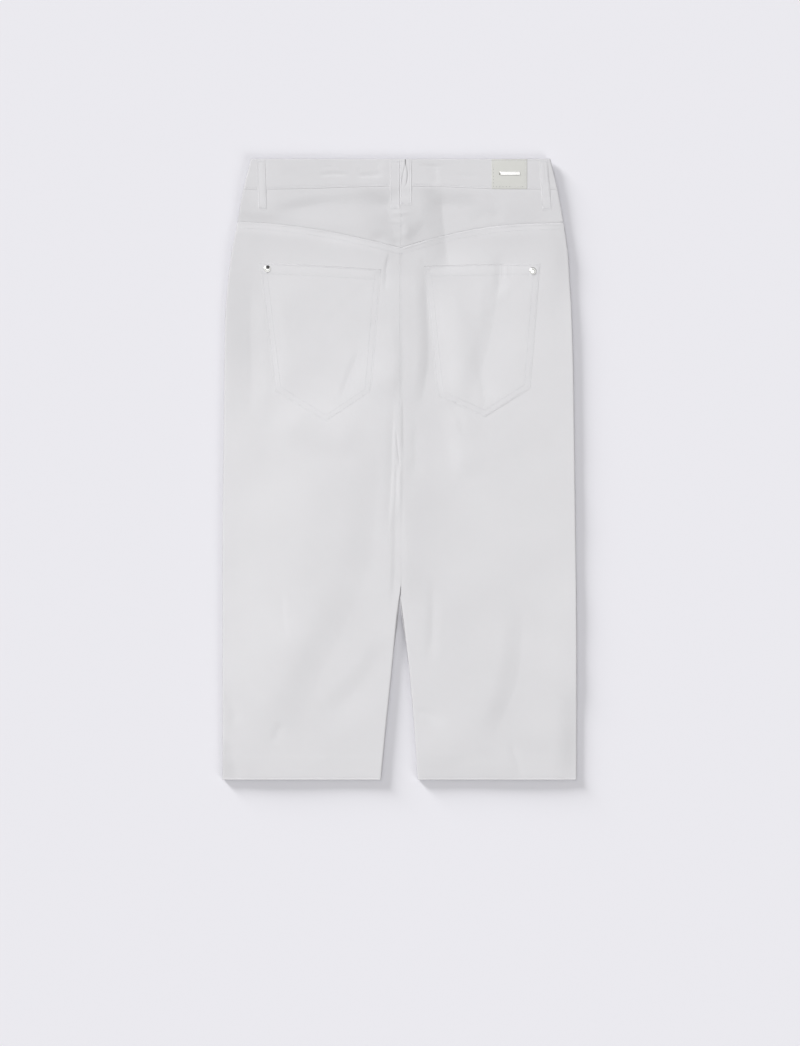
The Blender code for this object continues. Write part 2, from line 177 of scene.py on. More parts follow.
SIDES = (  # depth, left edge, right edge
    (0.000, -0.1883, 0.1915),
    (0.040, -0.1984, 0.2009),
    (0.078, -0.2052, 0.2079),
    (0.123, -0.2137, 0.2144),
    (0.154, -0.2175, 0.2163),
    (0.180, -0.2200, 0.2180),
    (0.243, -0.2218, 0.2204),
    (0.357, -0.2232, 0.2223),
    (0.472, -0.2245, 0.2238),
    (0.586, -0.2245, 0.2251),
    (LENGTH, -0.2245, 0.2251),
)
INNER_EDGES = (  # depth, inner edge of the left half, inner edge of the right half
    (0.000, CENTRE_X, CENTRE_X),
    (LEGS_PART_DEPTH, CENTRE_X, CENTRE_X),
    (0.561, -0.0010, 0.0020),
    (0.650, -0.0095, 0.0127),
    (0.723, -0.0170, 0.0190),
    (LENGTH, -0.0232, 0.0233),
)


def ramp(value, start, end):
    """0 before start and 1 after end, with a smooth rise between."""
    part = np.clip((value - start) / (end - start), 0.0, 1.0)
    return part * part * (3.0 - 2.0 * part)


def window(value, rise, fall):
    """0, then 1 between two smooth slopes, then 0 again."""
    return ramp(value, *rise) * (1.0 - ramp(value, *fall))


def bell(value):
    """A smooth bump of height 1 that is 1 wide at about a third of its height."""
    return np.exp(-value * value)


def shoulder(part):
    """The height of a round edge: 0 at the edge itself and 1 from a part of 1 on."""
    return np.sqrt(1.0 - (1.0 - np.clip(part, 0.0, 1.0)) ** 2)


def smooth_curve(depths, values):
    """A curve through values at rising depths, without corners."""
    depths, values = np.array(depths), np.array(values)
    slopes = np.gradient(values, depths)

    def at(depth):
        row = np.clip(np.searchsorted(depths, depth) - 1, 0, len(depths) - 2)
        span = depths[row + 1] - depths[row]
        part = np.clip((depth - depths[row]) / span, 0.0, 1.0)
        rise = part * part * (3.0 - 2.0 * part)
        leave = part * (1.0 - part) ** 2 * span * slopes[row]
        arrive = part * part * (part - 1.0) * span * slopes[row + 1]
        return values[row] * (1.0 - rise) + values[row + 1] * rise + leave + arrive

    return at


HALVES = {"left": -1.0, "right": 1.0}  # and the way each lies from the centre seam
side_depths, *side_edges = zip(*SIDES)
OUTER = {half: smooth_curve(side_depths, edge) for half, edge in zip(HALVES, side_edges)}
inner_depths, *inner_edges = zip(*INNER_EDGES)
INNER = dict(zip(HALVES, inner_edges))


def inner_x(side, depth):
    """The centre seam, where the halves just overlap, and below the fork the leg's own inner edge."""
    apart = GAP / 2 * ramp(depth, *LEGS_PARTING) - SEAM_OVERLAP
    return np.interp(depth, inner_depths, INNER[side]) + HALVES[side] * apart


def half_edges(side):
    """Gives the left and right edge of one half of the trousers at a depth."""
    if side == "left":
        return lambda depth: (OUTER["left"](depth), inner_x("left", depth))
    return lambda depth: (inner_x("right", depth), OUTER["right"](depth))


def full_edges(depth):
    return OUTER["left"](depth), OUTER["right"](depth)


BAND_SIDE_DEPTH = 0.0388  # lower edge of the waistband at the sides
BAND_CENTRE_DEPTH = 0.0343  # and at the centre back
BAND_HALF = 0.195
YOKE_SIDE_DEPTH = 0.0800  # yoke seam at the sides
YOKE_TIP_DEPTH = 0.1130  # and at its point
YOKE_HALF = 0.205
YOKE_CURVE = {"left": 1.7, "right": 2.1}  # how hollow the two sides of its V are
YOKE_SAG = 0.0013  # the right side hangs a little lower
BAND_WAVER = 0.0007


def band_depth(x):
    """Depth of the waistband's lower edge, which rises a little at the centre."""
    aside = np.maximum(1.0 - abs(x - CENTRE_X) / BAND_HALF, 0.0)
    waver = BAND_WAVER * (bell((x + 0.066) / 0.030) + bell((x - 0.064) / 0.022))
    return BAND_SIDE_DEPTH - (BAND_SIDE_DEPTH - BAND_CENTRE_DEPTH) * aside ** 2 - waver


def yoke_depth(x):
    """Depth of the yoke seam, a V with hollow sides."""
    aside = np.maximum(1.0 - abs(x - CENTRE_X) / YOKE_HALF, 0.0)
    curve = np.where(x < CENTRE_X, YOKE_CURVE["left"], YOKE_CURVE["right"])
    drop = (YOKE_TIP_DEPTH - YOKE_SIDE_DEPTH) * aside ** curve
    return YOKE_SIDE_DEPTH + drop + YOKE_SAG * ramp(x, 0.10, 0.19)


print("waist width", round(OUTER["right"](0.0) - OUTER["left"](0.0), 4))

# %% [markdown]
# Cloth that is laid down by hand keeps soft troughs and ridges. Each one here is a line through a few
# points, in millimetres from the middle and down from the waist, with its reach to either side and its rise.
# Left and right are as seen for a line drawn downwards, and on a line drawn to the right, "right" is its
# upper side. A fold of 0 is a round trough and 1 a sharp one. A simulation would give other folds each time,
# so these are listed, and a few slow waves with a fixed seed stop the cloth between them from being
# too even.

# %% Creases of the back
Crease = namedtuple("Crease", "path left right rise fold")


def creases(*rows):
    """Each row holds a crease's path, its reach to the left and to the right, its rise and its fold."""
    return [Crease(*row) for row in rows]


BACK_CREASES = creases(
    # Round the waist and the yoke.
    (((-176, 76), (-138, 66), (-98, 56), (-56, 52), (-4, 54)), 36, 17, -1.3, 0.2),
    (((-230, 76), (-184, 78), (-140, 82)), 20, 12, -0.7, 0.3),
    (((-208, 78), (-160, 84), (-90, 96), (-20, 108)), 18, 15, -0.6, 0.5),
    (((206, 78), (150, 82), (110, 86), (84, 92)), 28, 17, -1.2, 0.5),
    (((-22, 36), (-12, 78), (-2, 116)), 44, 22, -2.0, 0.35),
    (((36, 76), (24, 93), (8, 110)), 12, 20, -0.6, 0.3),
    (((52, 28), (54, 64), (58, 104), (64, 152)), 30, 60, -2.8, 0.8),
    (((74, 30), (92, 62), (116, 86)), 20, 26, -1.0, 0.3),
    (((110, 38), (122, 62), (128, 84)), 14, 14, -0.6, 0.3),
    (((-12, 69), (2, 69), (16, 67)), 4, 4, 0.35, 0.0),
    (((-16, 78), (-2, 80), (12, 79)), 4, 4, 0.35, 0.0),
    (((6, 80), (8, 90), (4, 102)), 9, 9, 0.4, 0.0),
    (((-40, 98), (-18, 104), (0, 113), (8, 116)), 8, 13, -0.7, 0.3),
    # Down the middle of the seat.
    (((32, 120), (35, 190), (37, 245), (32, 290), (23, 330)), 15, 44, -1.8, 0.7),
    (((-12, 116), (-17, 138), (-18, 170)), 2.4, 14, -0.62, 0.6),
    (((26, 126), (36, 138), (44, 142)), 5, 5, -0.5, 0.5),
    (((4.6, 298), (4.4, 332), (5.2, 385)), 3.4, 26, -0.55, 1.0),
    (((-7, 296), (-9, 350), (-10.5, 400), (-12.5, 440), (-15, 480)), 10, 5, -0.5, 0.7),
    (((-4, 425), (-5.5, 470), (-6, 520), (-9, 575)), 6, 12, -0.55, 0.2),
    (((0.8, 374), (0.4, 410), (-0.2, 456)), 3.4, 5, 0.4, 0.2),
    (((7, 410), (10, 470), (11, 530), (14, 566)), 9, 24, 0.4, 0.0),
    (((-4.2, 380), (-4.6, 415), (-6.2, 456)), 1.8, 2.6, -0.3, 0.5),
    (((-5.2, 340), (-2.6, 362), (1.2, 398)), 2.0, 2.2, -0.6, 0.5),
    (((20, 330), (20, 365), (18, 410)), 8, 14, -0.25, 0.2),
    # On the left pocket and beside it.
    (((-190, 140), (-190, 220), (-188, 280), (-192, 350)), 32, 22, -1.4, 0.3),
    (((-150, 140), (-142, 230), (-138, 310)), 22, 60, 0.9, 0.0),
    (((-15, 200), (-8, 255), (-14, 310)), 52, 16, 1.3, 0.0),
    (((-160, 320), (-100, 350), (-40, 345)), 34, 46, 1.3, 0.0),
    (((-50, 240), (-62, 270), (-76, 308)), 7, 18, -0.36, 0.3),
    # On the right pocket and beside it.
    (((58, 150), (76, 215), (83, 270), (86, 330)), 28, 26, 1.2, 0.0),
    (((132, 112), (124, 178), (117, 215), (105, 262), (84, 322)), 24, 44, -1.05, 0.35),
    (((93, 262), (98, 288), (102, 324)), 12, 9, 0.3, 0.0),
    (((126, 118), (127, 148), (124, 180)), 9, 14, -0.6, 0.4),
    (((64, 312), (78, 355), (86, 410)), 22, 36, 1.2, 0.0),
    (((62, 302), (74, 325), (82, 352)), 6, 12, -0.3, 0.4),
    # Down the left leg.
    (
        ((-28, 340), (-30, 430), (-38, 505), (-52, 550), (-76, 606), (-100, 655), (-122, 694), (-156, 750)),
        44, 70, -1.7, 0.25,
    ),
    (((-100, 310), (-124, 450), (-144, 560), (-170, 740)), 80, 60, 1.8, 0.0),
    (((-12, 604), (-34, 648), (-60, 680), (-104, 718)), 24, 40, -1.0, 0.2),
    (((-148, 712), (-154, 726), (-162, 744)), 9, 14, -0.45, 0.4),
    (((-150, 540), (-148, 580), (-142, 620)), 16, 8, -0.3, 0.4),
    (((-226, 676), (-212, 696), (-206, 720)), 10, 14, -0.5, 0.3),
    (((-228, 740), (-212, 764), (-204, 796)), 18, 20, -0.8, 0.3),
    # Down the right leg.
    (((42, 530), (42, 590), (37, 644)), 10, 14, -0.7, 0.6),
    (((157, 550), (153, 636), (139, 692), (109, 750)), 28, 64, -1.7, 0.4),
    (((236, 660), (230, 728), (222, 812)), 34, 20, -1.5, 0.2),
    (((20, 700), (36, 704), (50, 712)), 8, 8, -0.4, 0.3),
    (((140, 735), (148, 762), (156, 790)), 10, 10, -0.5, 0.4),
    (((60, 764), (100, 760), (150, 764)), 12, 18, -0.35, 0.3),
)
LINE_STEPS = 6  # short straight steps between two points of a crease
WAVES = 10
WAVE_SEED = 11
WAVE_RISE = 0.00008
WAVE_LENGTHS = (0.060, 0.160)


def line_through(path):
    """A smooth line through a crease's points, in metres."""
    points = np.array(path, float) * MM
    ends = np.vstack([2 * points[0] - points[1], points, 2 * points[-1] - points[-2]])
    share = np.linspace(0.0, 1.0, LINE_STEPS, endpoint=False)[:, None]
    runs = []
    for before, start, end, after in zip(ends, ends[1:], ends[2:], ends[3:]):
        pull = 2 * before - 5 * start + 4 * end - after
        swing = 3 * (start - end) + after - before
        runs.append(0.5 * (2 * start + (end - before) * share + pull * share ** 2 + swing * share ** 3))
    return np.vstack([*runs, points[-1:]])


def crease_rise(x, depth, crease):
    """Height that one crease adds at each place."""
    line = line_through(crease.path)
    reach = max(crease.left, crease.right) * MM
    low, high = line.min(0) - reach, line.max(0) + reach
    near = (x > low[0]) & (x < high[0]) & (depth > low[1]) & (depth < high[1])
    rise = np.zeros_like(x)
    if not near.any():
        return rise
    start, step = line[:-1], np.diff(line, axis=0)
    offset = np.stack([x[near], depth[near]], 1)[:, None, :] - start
    part = np.clip((offset * step).sum(2) / (step ** 2).sum(1), 0.0, 1.0)
    away = offset - part[..., None] * step
    distance = np.sqrt((away ** 2).sum(2))
    nearest = distance.argmin(1)
    pick = (np.arange(len(nearest)), nearest)
    travelled = np.concatenate([[0.0], np.cumsum(np.sqrt((step ** 2).sum(1)))])
    along = travelled[nearest] + part[pick] * np.diff(travelled)[nearest]
    along /= travelled[-1]
    to_right = away[pick][:, 0] * step[nearest, 1] - away[pick][:, 1] * step[nearest, 0] > 0
    reach_here = np.where(to_right, crease.right, crease.left) * MM
    across = np.minimum(distance[pick] / reach_here, 1.0)
    taper = window(along, (0.0, 0.3), (0.7, 1.0))
    profile = (1.0 - crease.fold) * (0.5 + 0.5 * np.cos(np.pi * across)) + crease.fold * (1.0 - across) ** 2
    rise[near] = crease.rise * MM * taper * profile
    return rise


def creases_rise(x, depth, lines):
    return sum(crease_rise(x, depth, line) for line in lines)


def slow_waves(x, depth, seed=WAVE_SEED):
    """A gentle unevenness, the same on every run."""
    rng = np.random.default_rng(seed)
    total = np.zeros_like(x)
    for _ in range(WAVES):
        turn, shift = rng.uniform(0.0, 2 * math.pi, 2)
        pitch = 2 * math.pi / rng.uniform(*WAVE_LENGTHS)
        total += np.sin(pitch * (x * math.cos(turn) + depth * math.sin(turn)) + shift)
    return WAVE_RISE * total


# %% [markdown]
# The trousers lie as two layers with a fold or a seam round the outside. The upper face of the back rounds
# down to the side seam, and the lower face of the front rounds up to it. At the waist everything is a little
# higher, because the front lies on its belt loops there. Each height below takes whole rows of places at
# once.

# %% How the layers lie
LEG_LEVEL = 0.0056  # upper face of the back on the legs
WAIST_LEVEL = 0.0060  # and at the yoke
BAND_LEVEL = 0.0064  # upper face of the back waistband
FRONT_WAIST_LEVEL = 0.0015  # lower face of the front waistband
SEAM_LEVEL = 0.00255  # side seam on the legs
BAND_SEAM_LEVEL = 0.00395  # and at the waist
WAIST_DEPTH = 0.040  # the waist's levels hold down to here
LEVEL_DEPTH = 0.110  # and the legs' levels from here
ROUND_REACH = 0.0022  # width of the strip that rounds down to an edge
ROUNDNESS = 0.42  # share of the height that is rounded, and the rest is upright
UPRIGHT_PART = 0.03
FORK_FADE = (0.528, 0.590)  # depths between which the inner edges of the legs become round
CREASE_START = 0.012  # creases begin over this length below the waistband
BAND_MEETING = 0.024  # the yoke comes up to the waistband's edge over this length
BAND_STEP = 0.00032  # and lies this much below its face
SEAM_DIP = 0.00014  # depth of a sewn groove
SEAM_DIP_WIDTH = 0.0013
CENTRE_DIP = 0.2  # the centre seam is pressed open, so its groove is only this part of the yoke's
HEM_DEPTH = 0.028  # how far the hem is turned up
HEM_RISE = 0.00015  # its double cloth lifts the surface
HEM_FOLD = 0.0012  # the cloth rounds down over this length into the fold, and by this much
HEM_FALL = 0.0005
HEM_UPRIGHT = 0.0010
HEM_PULL = 0.00012  # and the stitches pull it in


def at_waist(depth):
    return 1.0 - ramp(depth, WAIST_DEPTH, LEVEL_DEPTH)


def to_edge(x, depth):
    """Distance to the nearest outer edge or inner leg edge."""
    left = x < CENTRE_X
    to_side = np.where(left, x - OUTER["left"](depth), OUTER["right"](depth) - x)
    to_inner = np.where(left, inner_x("left", depth) - x, x - inner_x("right", depth))
    to_inner = to_inner + ROUND_REACH * (1.0 - ramp(depth, *FORK_FADE))
    return np.clip(np.minimum(to_side, to_inner), 0.0, ROUND_REACH)


def rounding(x, depth):
    """0 at an edge, 1 where the cloth lies level."""
    part = to_edge(x, depth) / ROUND_REACH
    upright = np.minimum(part / UPRIGHT_PART, 1.0) * (1.0 - ROUNDNESS)
    return upright + ROUNDNESS * shoulder(part)


def seam_height(depth):
    return SEAM_LEVEL + (BAND_SEAM_LEVEL - SEAM_LEVEL) * at_waist(depth)


def seam_dips(x, depth):
    """The grooves along the yoke seam and the centre seam."""
    deeper = 0.3 * ramp(x, 0.08, 0.12) + 1.8 * ramp(x, 0.143, 0.158) - 0.75 * bell((x - 0.047) / 0.013)
    yoke = (1.0 + deeper) * bell((depth - yoke_depth(x)) / SEAM_DIP_WIDTH)
    centre = bell((x - CENTRE_X) / SEAM_DIP_WIDTH) * ramp(depth, 0.108, 0.118)
    return SEAM_DIP * np.maximum(yoke, CENTRE_DIP * centre * (1.0 - ramp(depth, 0.14, 0.20)))


def hem_fall(depth):
    """How far the cloth rounds down into the fold of the hem."""
    above = LENGTH - depth
    upright = HEM_UPRIGHT * (1.0 - np.clip(above / (UPRIGHT_PART * HEM_FOLD), 0.0, 1.0))
    pull = HEM_PULL * bell((above - 0.0026) / 0.0010)
    return HEM_FALL * (1.0 - shoulder(above / HEM_FOLD)) + upright + pull


BAND_CREASES = creases(
    (((-106, 21), (-80, 19.5), (-60, 20)), 4, 5, -0.40, 0.3),
    (((-58, 22), (-40, 21.5), (-20, 20)), 4, 6, -0.45, 0.3),
    (((-100, 11), (-92, 10), (-84, 11)), 4, 4, -0.2, 0.3),
    (((-28, 7), (-27.5, 9.5), (-27, 12)), 2.4, 2.4, -0.35, 0.5),
    (((-53, 11), (-52.5, 15), (-52, 20)), 2.6, 2.6, -0.3, 0.5),
    (((45, 13), (46, 15), (47, 17)), 2.4, 2.4, -0.35, 0.5),
    (((22, 9), (42, 9.5), (60, 9.5)), 4, 4, -0.25, 0.4),
    (((64, 20), (84, 22), (104, 21)), 5, 5, -0.15, 0.2),
    (((-150, 12), (-130, 22), (-126, 34)), 12, 12, -0.25, 0.0),
    (((40, 4), (46, 22), (48, 36)), 14, 8, -0.5, 0.4),
    (((176, 4), (190, 20), (196, 40)), 12, 12, -0.2, 0.2),
    (((-24, 2), (-20, 18), (-22, 34)), 12, 12, 0.3, 0.0),
)


def band_level(x, depth):
    """Upper face of the back waistband, away from its edges."""
    return BAND_LEVEL + creases_rise(x, depth, BAND_CREASES) + 0.6 * slow_waves(x, depth)


def back_height(x, depth):
    """Upper face of the back panels and the yoke."""
    level = LEG_LEVEL + (WAIST_LEVEL - LEG_LEVEL) * at_waist(depth)
    below_band = ramp(depth - band_depth(x), -0.004, CREASE_START)
    level = level + creases_rise(x, depth, BACK_CREASES) * below_band + slow_waves(x, depth)
    at_band = 1.0 - ramp(depth - band_depth(x), 0.0005, BAND_MEETING)
    level = level + (band_level(x, band_depth(x)) - BAND_STEP - level) * at_band
    level = level + HEM_RISE * ramp(depth, LENGTH - HEM_DEPTH - 0.006, LENGTH - HEM_DEPTH + 0.002)
    edge = seam_height(depth) + GAP / 2
    return edge + (level - edge) * rounding(x, depth) - seam_dips(x, depth) - hem_fall(depth)


trial_x, trial_depth = np.meshgrid(np.linspace(-0.2, 0.2, 60), np.linspace(0.05, 0.78, 90))
trial = back_height(trial_x.ravel(), trial_depth.ravel())
print("back lies between", round(trial.min() * 1000, 2), "and", round(trial.max() * 1000, 2), "mm")

# %% [markdown]
# Each patch pocket is a five-cornered piece with its edges turned under, sewn on with two rows of stitches,
# and a wider hem along its mouth. It follows the panel below it, so its height is the panel's own plus the
# cloth's thickness, with a puffed rim outside the stitches that pull it down.

# %% How the pockets lie
POCKETS = {
    "left": ((-0.1775, 0.1320), (-0.1582, 0.2940), (-0.0930, 0.3346), (-0.0359, 0.2965), (-0.0232, 0.1403)),
    "right": ((0.0312, 0.1359), (0.0479, 0.3004), (0.1085, 0.3277), (0.1661, 0.2915), (0.1786, 0.1334)),
}
POCKET_LIFT = {"left": 0.00032, "right": 0.00045}  # how far each stands up from the panel
# How much each sewn edge stands up: left side, lower left, lower right, right side.
EDGE_PLAY = {"left": (0.36, 0.10, 0.0, 0.02), "right": (0.35, 0.08, 0.36, 0.20)}
EDGE_BLEND = 0.003
POCKET_RIM = 0.0016  # its edge is round over this width
POCKET_STITCHES = (0.0020, 0.0080)  # rows of stitches, measured in from the edge
MOUTH_STITCHES = (0.0020, 0.0135)
STITCH_PULL = 0.00010
PULL_WIDTH = 0.0011
MOUTH_SAG = 0.0008
MOUTH_PUFF = 0.00005  # the mouth's hem puffs up between its two rows
RIM_RIPPLE = 0.00006
POCKET_SEED = {"left": 21, "right": 22}
RIPPLE_PITCHES = (0.0061, 0.0087, 0.0123, 0.0190)


def stitch_pull(inset, rows):
    """How far rows of stitches draw the cloth down, at a distance in from an edge."""
    return STITCH_PULL * sum(bell((inset - row) / PULL_WIDTH) for row in rows)


def ripples(run, seed):
    """Small uneven waves along a sewn seam, from -1 to 1."""
    rng = np.random.default_rng(seed)
    total = np.zeros_like(run)
    for pitch in RIPPLE_PITCHES:
        total += np.sin(2 * math.pi * run / pitch * rng.uniform(0.85, 1.15) + rng.uniform(0.0, 6.0))
    return total / len(RIPPLE_PITCHES)


def pocket_sides(side):
    """The pocket's straight edges as pairs of corners, the mouth last."""
    corners = POCKETS[side]
    return list(zip(corners, corners[1:] + corners[:1]))


def pocket_insets(side, x, depth):
    """Distance in from each edge of the pocket, one row of distances for each edge."""
    insets = []
    for (ax, ad), (bx, bd) in pocket_sides(side):
        length = math.hypot(bx - ax, bd - ad)
        insets.append(((bd - ad) * (x - ax) - (bx - ax) * (depth - ad)) / length)
    return np.array(insets)


def mouth_depth(side, x):
    """Depth of the pocket's top edge, which sags a little."""
    (left_x, left_depth), (right_x, right_depth) = POCKETS[side][0], POCKETS[side][-1]
    part = np.clip((x - left_x) / (right_x - left_x), 0.0, 1.0)
    return left_depth + (right_depth - left_depth) * part - MOUTH_SAG * 4.0 * part * (1.0 - part)


def pocket_bottom(side, x):
    """Depth of the V at a pocket's lower edge."""
    lower = POCKETS[side][1:4]
    return np.interp(x, [corner[0] for corner in lower], [corner[1] for corner in lower])


def pocket_edges(side):
    """Gives the left and right edge of a pocket at a depth."""
    corners = POCKETS[side]

    def on_line(start, end, depth):
        return start[0] + (end[0] - start[0]) * (depth - start[1]) / (end[1] - start[1])

    return lambda depth: (on_line(corners[0], corners[1], depth), on_line(corners[4], corners[3], depth))


def edge_play(side, insets, mouth):
    """How much the nearest edge stands up, with a soft change from one edge to the next."""
    away = np.vstack([insets[:4], mouth[None]])
    nearness = np.exp(-(away - away.min(0)) / EDGE_BLEND)
    return (nearness * np.array([*EDGE_PLAY[side], 1.0])[:, None]).sum(0) / nearness.sum(0)


def pocket_height(side, x, depth):
    """Upper face of a pocket."""
    insets = np.abs(pocket_insets(side, x, depth))
    sewn = insets[:4].min(0)
    mouth = np.abs(depth - mouth_depth(side, x))
    play = edge_play(side, insets, mouth)
    inside = np.minimum(sewn, mouth)
    lift = (0.0001 + 0.5 * POCKET_LIFT[side] * shoulder(inside / POCKET_RIM)) * play
    lift = lift + 0.5 * POCKET_LIFT[side] * ramp(inside, 0.0, 0.011)
    lift = lift - (0.05 + 0.75 * play) * stitch_pull(sewn, POCKET_STITCHES)
    lift = lift - 0.5 * stitch_pull(mouth, MOUTH_STITCHES) + MOUTH_PUFF * bell((mouth - 0.0075) / 0.006)
    strength = RIM_RIPPLE * bell((sewn - 0.005) / 0.0045)
    return back_height(x, depth) + lift + strength * ripples(x * 0.7 + depth, POCKET_SEED[side])


# %% [markdown]
# White cotton twill is a weave, a faint nap and slightly uneven bleaching, and never one flat colour. The
# weave follows the cut of each piece, so it reads the piece's own map, whose unit is a metre. Wave bands
# turned across the cloth give the twill's diagonal ribs, finer bands cross them, and slow noise varies
# colour and roughness. An attribute of each piece carries painted light and shade: painted shade along folded
# edges, and painted paler and greyer patches and lines where light and shade fall. The sheen is set on the shader.

# %% Finishes
WHITE_COTTON = (0.749, 0.743, 0.761)
RIB_PITCH = 0.0007
WAVE_UNIT = 2 * math.pi / 20  # pitch of Blender's wave bands at scale 1


def add_node(tree, kind, **settings):
    made = tree.nodes.new(kind)
    for key, value in settings.items():
        if key in made.inputs:
            made.inputs[key].default_value = value
        else:
            setattr(made, key, value)
    return made


def bands(tree, spot, pitch, turn, distortion=0.6):
    """Fine parallel ribs, at a turn in degrees across the cloth."""
    turned = add_node(tree, "ShaderNodeMapping")
    turned.inputs["Rotation"].default_value = (0.0, 0.0, math.radians(turn))
    wave = add_node(tree, "ShaderNodeTexWave", Scale=WAVE_UNIT / pitch, Distortion=distortion, Detail=1.0)
    tree.links.new(spot, turned.inputs["Vector"])
    tree.links.new(turned.outputs["Vector"], wave.inputs["Vector"])
    return wave.outputs["Fac"]


def noise(tree, spot, size, detail=3.0):
    """Slow blotches about one size across."""
    made = add_node(tree, "ShaderNodeTexNoise", Scale=1.0 / size, Detail=detail, Roughness=0.55)
    tree.links.new(spot, made.inputs["Vector"])
    return made.outputs["Fac"]


def between(tree, value, low, high):
    """Maps 0..1 on to low..high."""
    made = add_node(tree, "ShaderNodeMapRange")
    made.inputs["To Min"].default_value = low
    made.inputs["To Max"].default_value = high
    tree.links.new(value, made.inputs["Value"])
    return made.outputs["Result"]


def times(tree, first, second, operation="MULTIPLY"):
    made = add_node(tree, "ShaderNodeMath", operation=operation)
    tree.links.new(first, made.inputs[0])
    if hasattr(second, "is_linked"):
        tree.links.new(second, made.inputs[1])
    else:
        made.inputs[1].default_value = second
    return made.outputs["Value"]


def tinted(tree, shade, colour):
    """A colour multiplied by a shade."""
    made = add_node(tree, "ShaderNodeVectorMath", operation="SCALE")
    made.inputs[0].default_value = colour
    tree.links.new(shade, made.inputs["Scale"])
    return made.outputs["Vector"]


def new_finish(name):
    material = bpy.data.materials.new(name)
    material.use_nodes = True
    return material, material.node_tree, material.node_tree.nodes["Principled BSDF"]


def dress(tree, shader, shade, colour, rough, relief):
    """Gives a shader its colour, its roughness and its relief. rough is (pattern, least, most), and relief is
    (pattern, strength, depth in metres)."""
    tree.links.new(tinted(tree, shade, colour), shader.inputs["Base Color"])
    tree.links.new(between(tree, *rough), shader.inputs["Roughness"])
    bump = add_node(tree, "ShaderNodeBump", Strength=relief[1], Distance=relief[2])
    tree.links.new(relief[0], bump.inputs["Height"])
    tree.links.new(bump.outputs["Normal"], shader.inputs["Normal"])


def on_cut(tree):
    """A place on the map of the cut, and the painted light and shade of the piece there."""
    worn = add_node(tree, "ShaderNodeAttribute", attribute_name="worn")
    return add_node(tree, "ShaderNodeUVMap", uv_map="cut").outputs["UV"], worn.outputs["Fac"]


def woven(name, colour, pitch, turn, sheen=0.15, uneven=0.02):
    """Cloth or thread with a woven surface, which the map of the cut and the attribute of painted light and shade
    guide.
    """
    material, tree, shader = new_finish(name)
    cut, worn = on_cut(tree)
    ribs, cross = bands(tree, cut, pitch, turn), bands(tree, cut, pitch * 0.7, turn + 74.0)
    weave = times(tree, times(tree, ribs, 0.7), times(tree, cross, 0.3), "ADD")
    shade = times(tree, between(tree, noise(tree, cut, 0.09), 1.0 - uneven, 1.0 + uneven), worn)
    shade = times(tree, shade, between(tree, noise(tree, cut, 0.012), 1.0 - uneven / 3, 1.0 + uneven / 3))
    shade = times(tree, shade, between(tree, weave, 0.985, 1.015))
    dress(tree, shader, shade, colour, (noise(tree, cut, 0.02), 0.78, 0.92), (weave, 0.5, 0.0001))
    shader.inputs["Sheen Weight"].default_value = sheen
    shader.inputs["Sheen Roughness"].default_value = 0.45
    shader.inputs["Specular IOR Level"].default_value = 0.25
    return material


COTTON = woven("white_cotton_twill", WHITE_COTTON, RIB_PITCH, 63.0)
BAND_COTTON = woven("waistband_twill", WHITE_COTTON, RIB_PITCH, 27.0)  # cut across the cloth
THREAD = woven("white_thread", (0.74, 0.735, 0.765), 0.0004, 20.0, sheen=0.05)
PATCH_THREAD = woven("patch_thread", (0.36, 0.36, 0.35), 0.0004, 20.0, sheen=0.05)
print("cloth finishes:", [finish.name for finish in (COTTON, BAND_COTTON, THREAD, PATCH_THREAD)])

# %% [markdown]
# A piece of cloth starts as a flat grid, one cell for a couple of millimetres of cloth. The grid's corners
# are then laid between the piece's edges and seams and lifted to the height worked out above, and Solidify
# gives the thickness. Rows and columns are closer where the cloth bends most, along edges and seams. Laying
# takes a few passes, because an edge is known by depth and a seam by its place across.

# %% Laying a sheet of cloth
CLOTH_WALL = 0.0008
LAY_PASSES = 4
EDGE_SHADING_REACH = 0.0032
EDGE_PAINTED_SHADE = 0.16
PIECES = {}


def new_mesh(name, shape):
    """Turns a bmesh into a mesh, and clears it away."""
    mesh = bpy.data.meshes.new(name)
    shape.to_mesh(mesh)
    shape.free()
    return mesh


def show(name, thing):
    """Puts a mesh, a lamp or a camera into the scene as an object."""
    shown = bpy.data.objects.new(name, thing)
    bpy.context.scene.collection.objects.link(shown)
    return shown


def new_piece(name, shape, material):
    """Makes a bmesh a named piece of the trousers."""
    mesh = new_mesh(name, shape)
    mesh.materials.append(material)
    mesh.shade_smooth()
    PIECES[name] = show(name, mesh)
    return PIECES[name]


def points_of(mesh):
    places = np.zeros(len(mesh.vertices) * 3, np.float32)
    mesh.vertices.foreach_get("co", places)
    return places.reshape(-1, 3)


def move_points(mesh, places):
    mesh.vertices.foreach_set("co", places.astype(np.float32).ravel())
    mesh.update()


PANEL_WIDTH = 0.2265  # half the way across at the hem
BACK_STEP = 0.0024  # one cell of cloth on the back panels
FRONT_STEP = 0.0050


def shares(length, step, start=(), end=()):
    """Places along a length, as parts of it: steps of one size, with closer ones named at either end."""
    near = [0.0, *start]
    far = [length - place for place in (*reversed(end), 0.0)]
    count = max(int(round((far[0] - near[-1]) / step)), 1)
    middle = np.linspace(near[-1], far[0], count + 1)
    return np.concatenate([near[:-1], middle, far[1:]]) / length


ROUNDING_STEPS = (0.00007, 0.0004, 0.0008, 0.0013, 0.0020, 0.0029, 0.0040)
SEAM_STEPS = (0.0006, 0.0012, 0.0018, 0.0025, 0.0034, 0.0045)
CROTCH_STEPS = (0.00007, 0.0004, *np.arange(1, 24) * 0.0009)


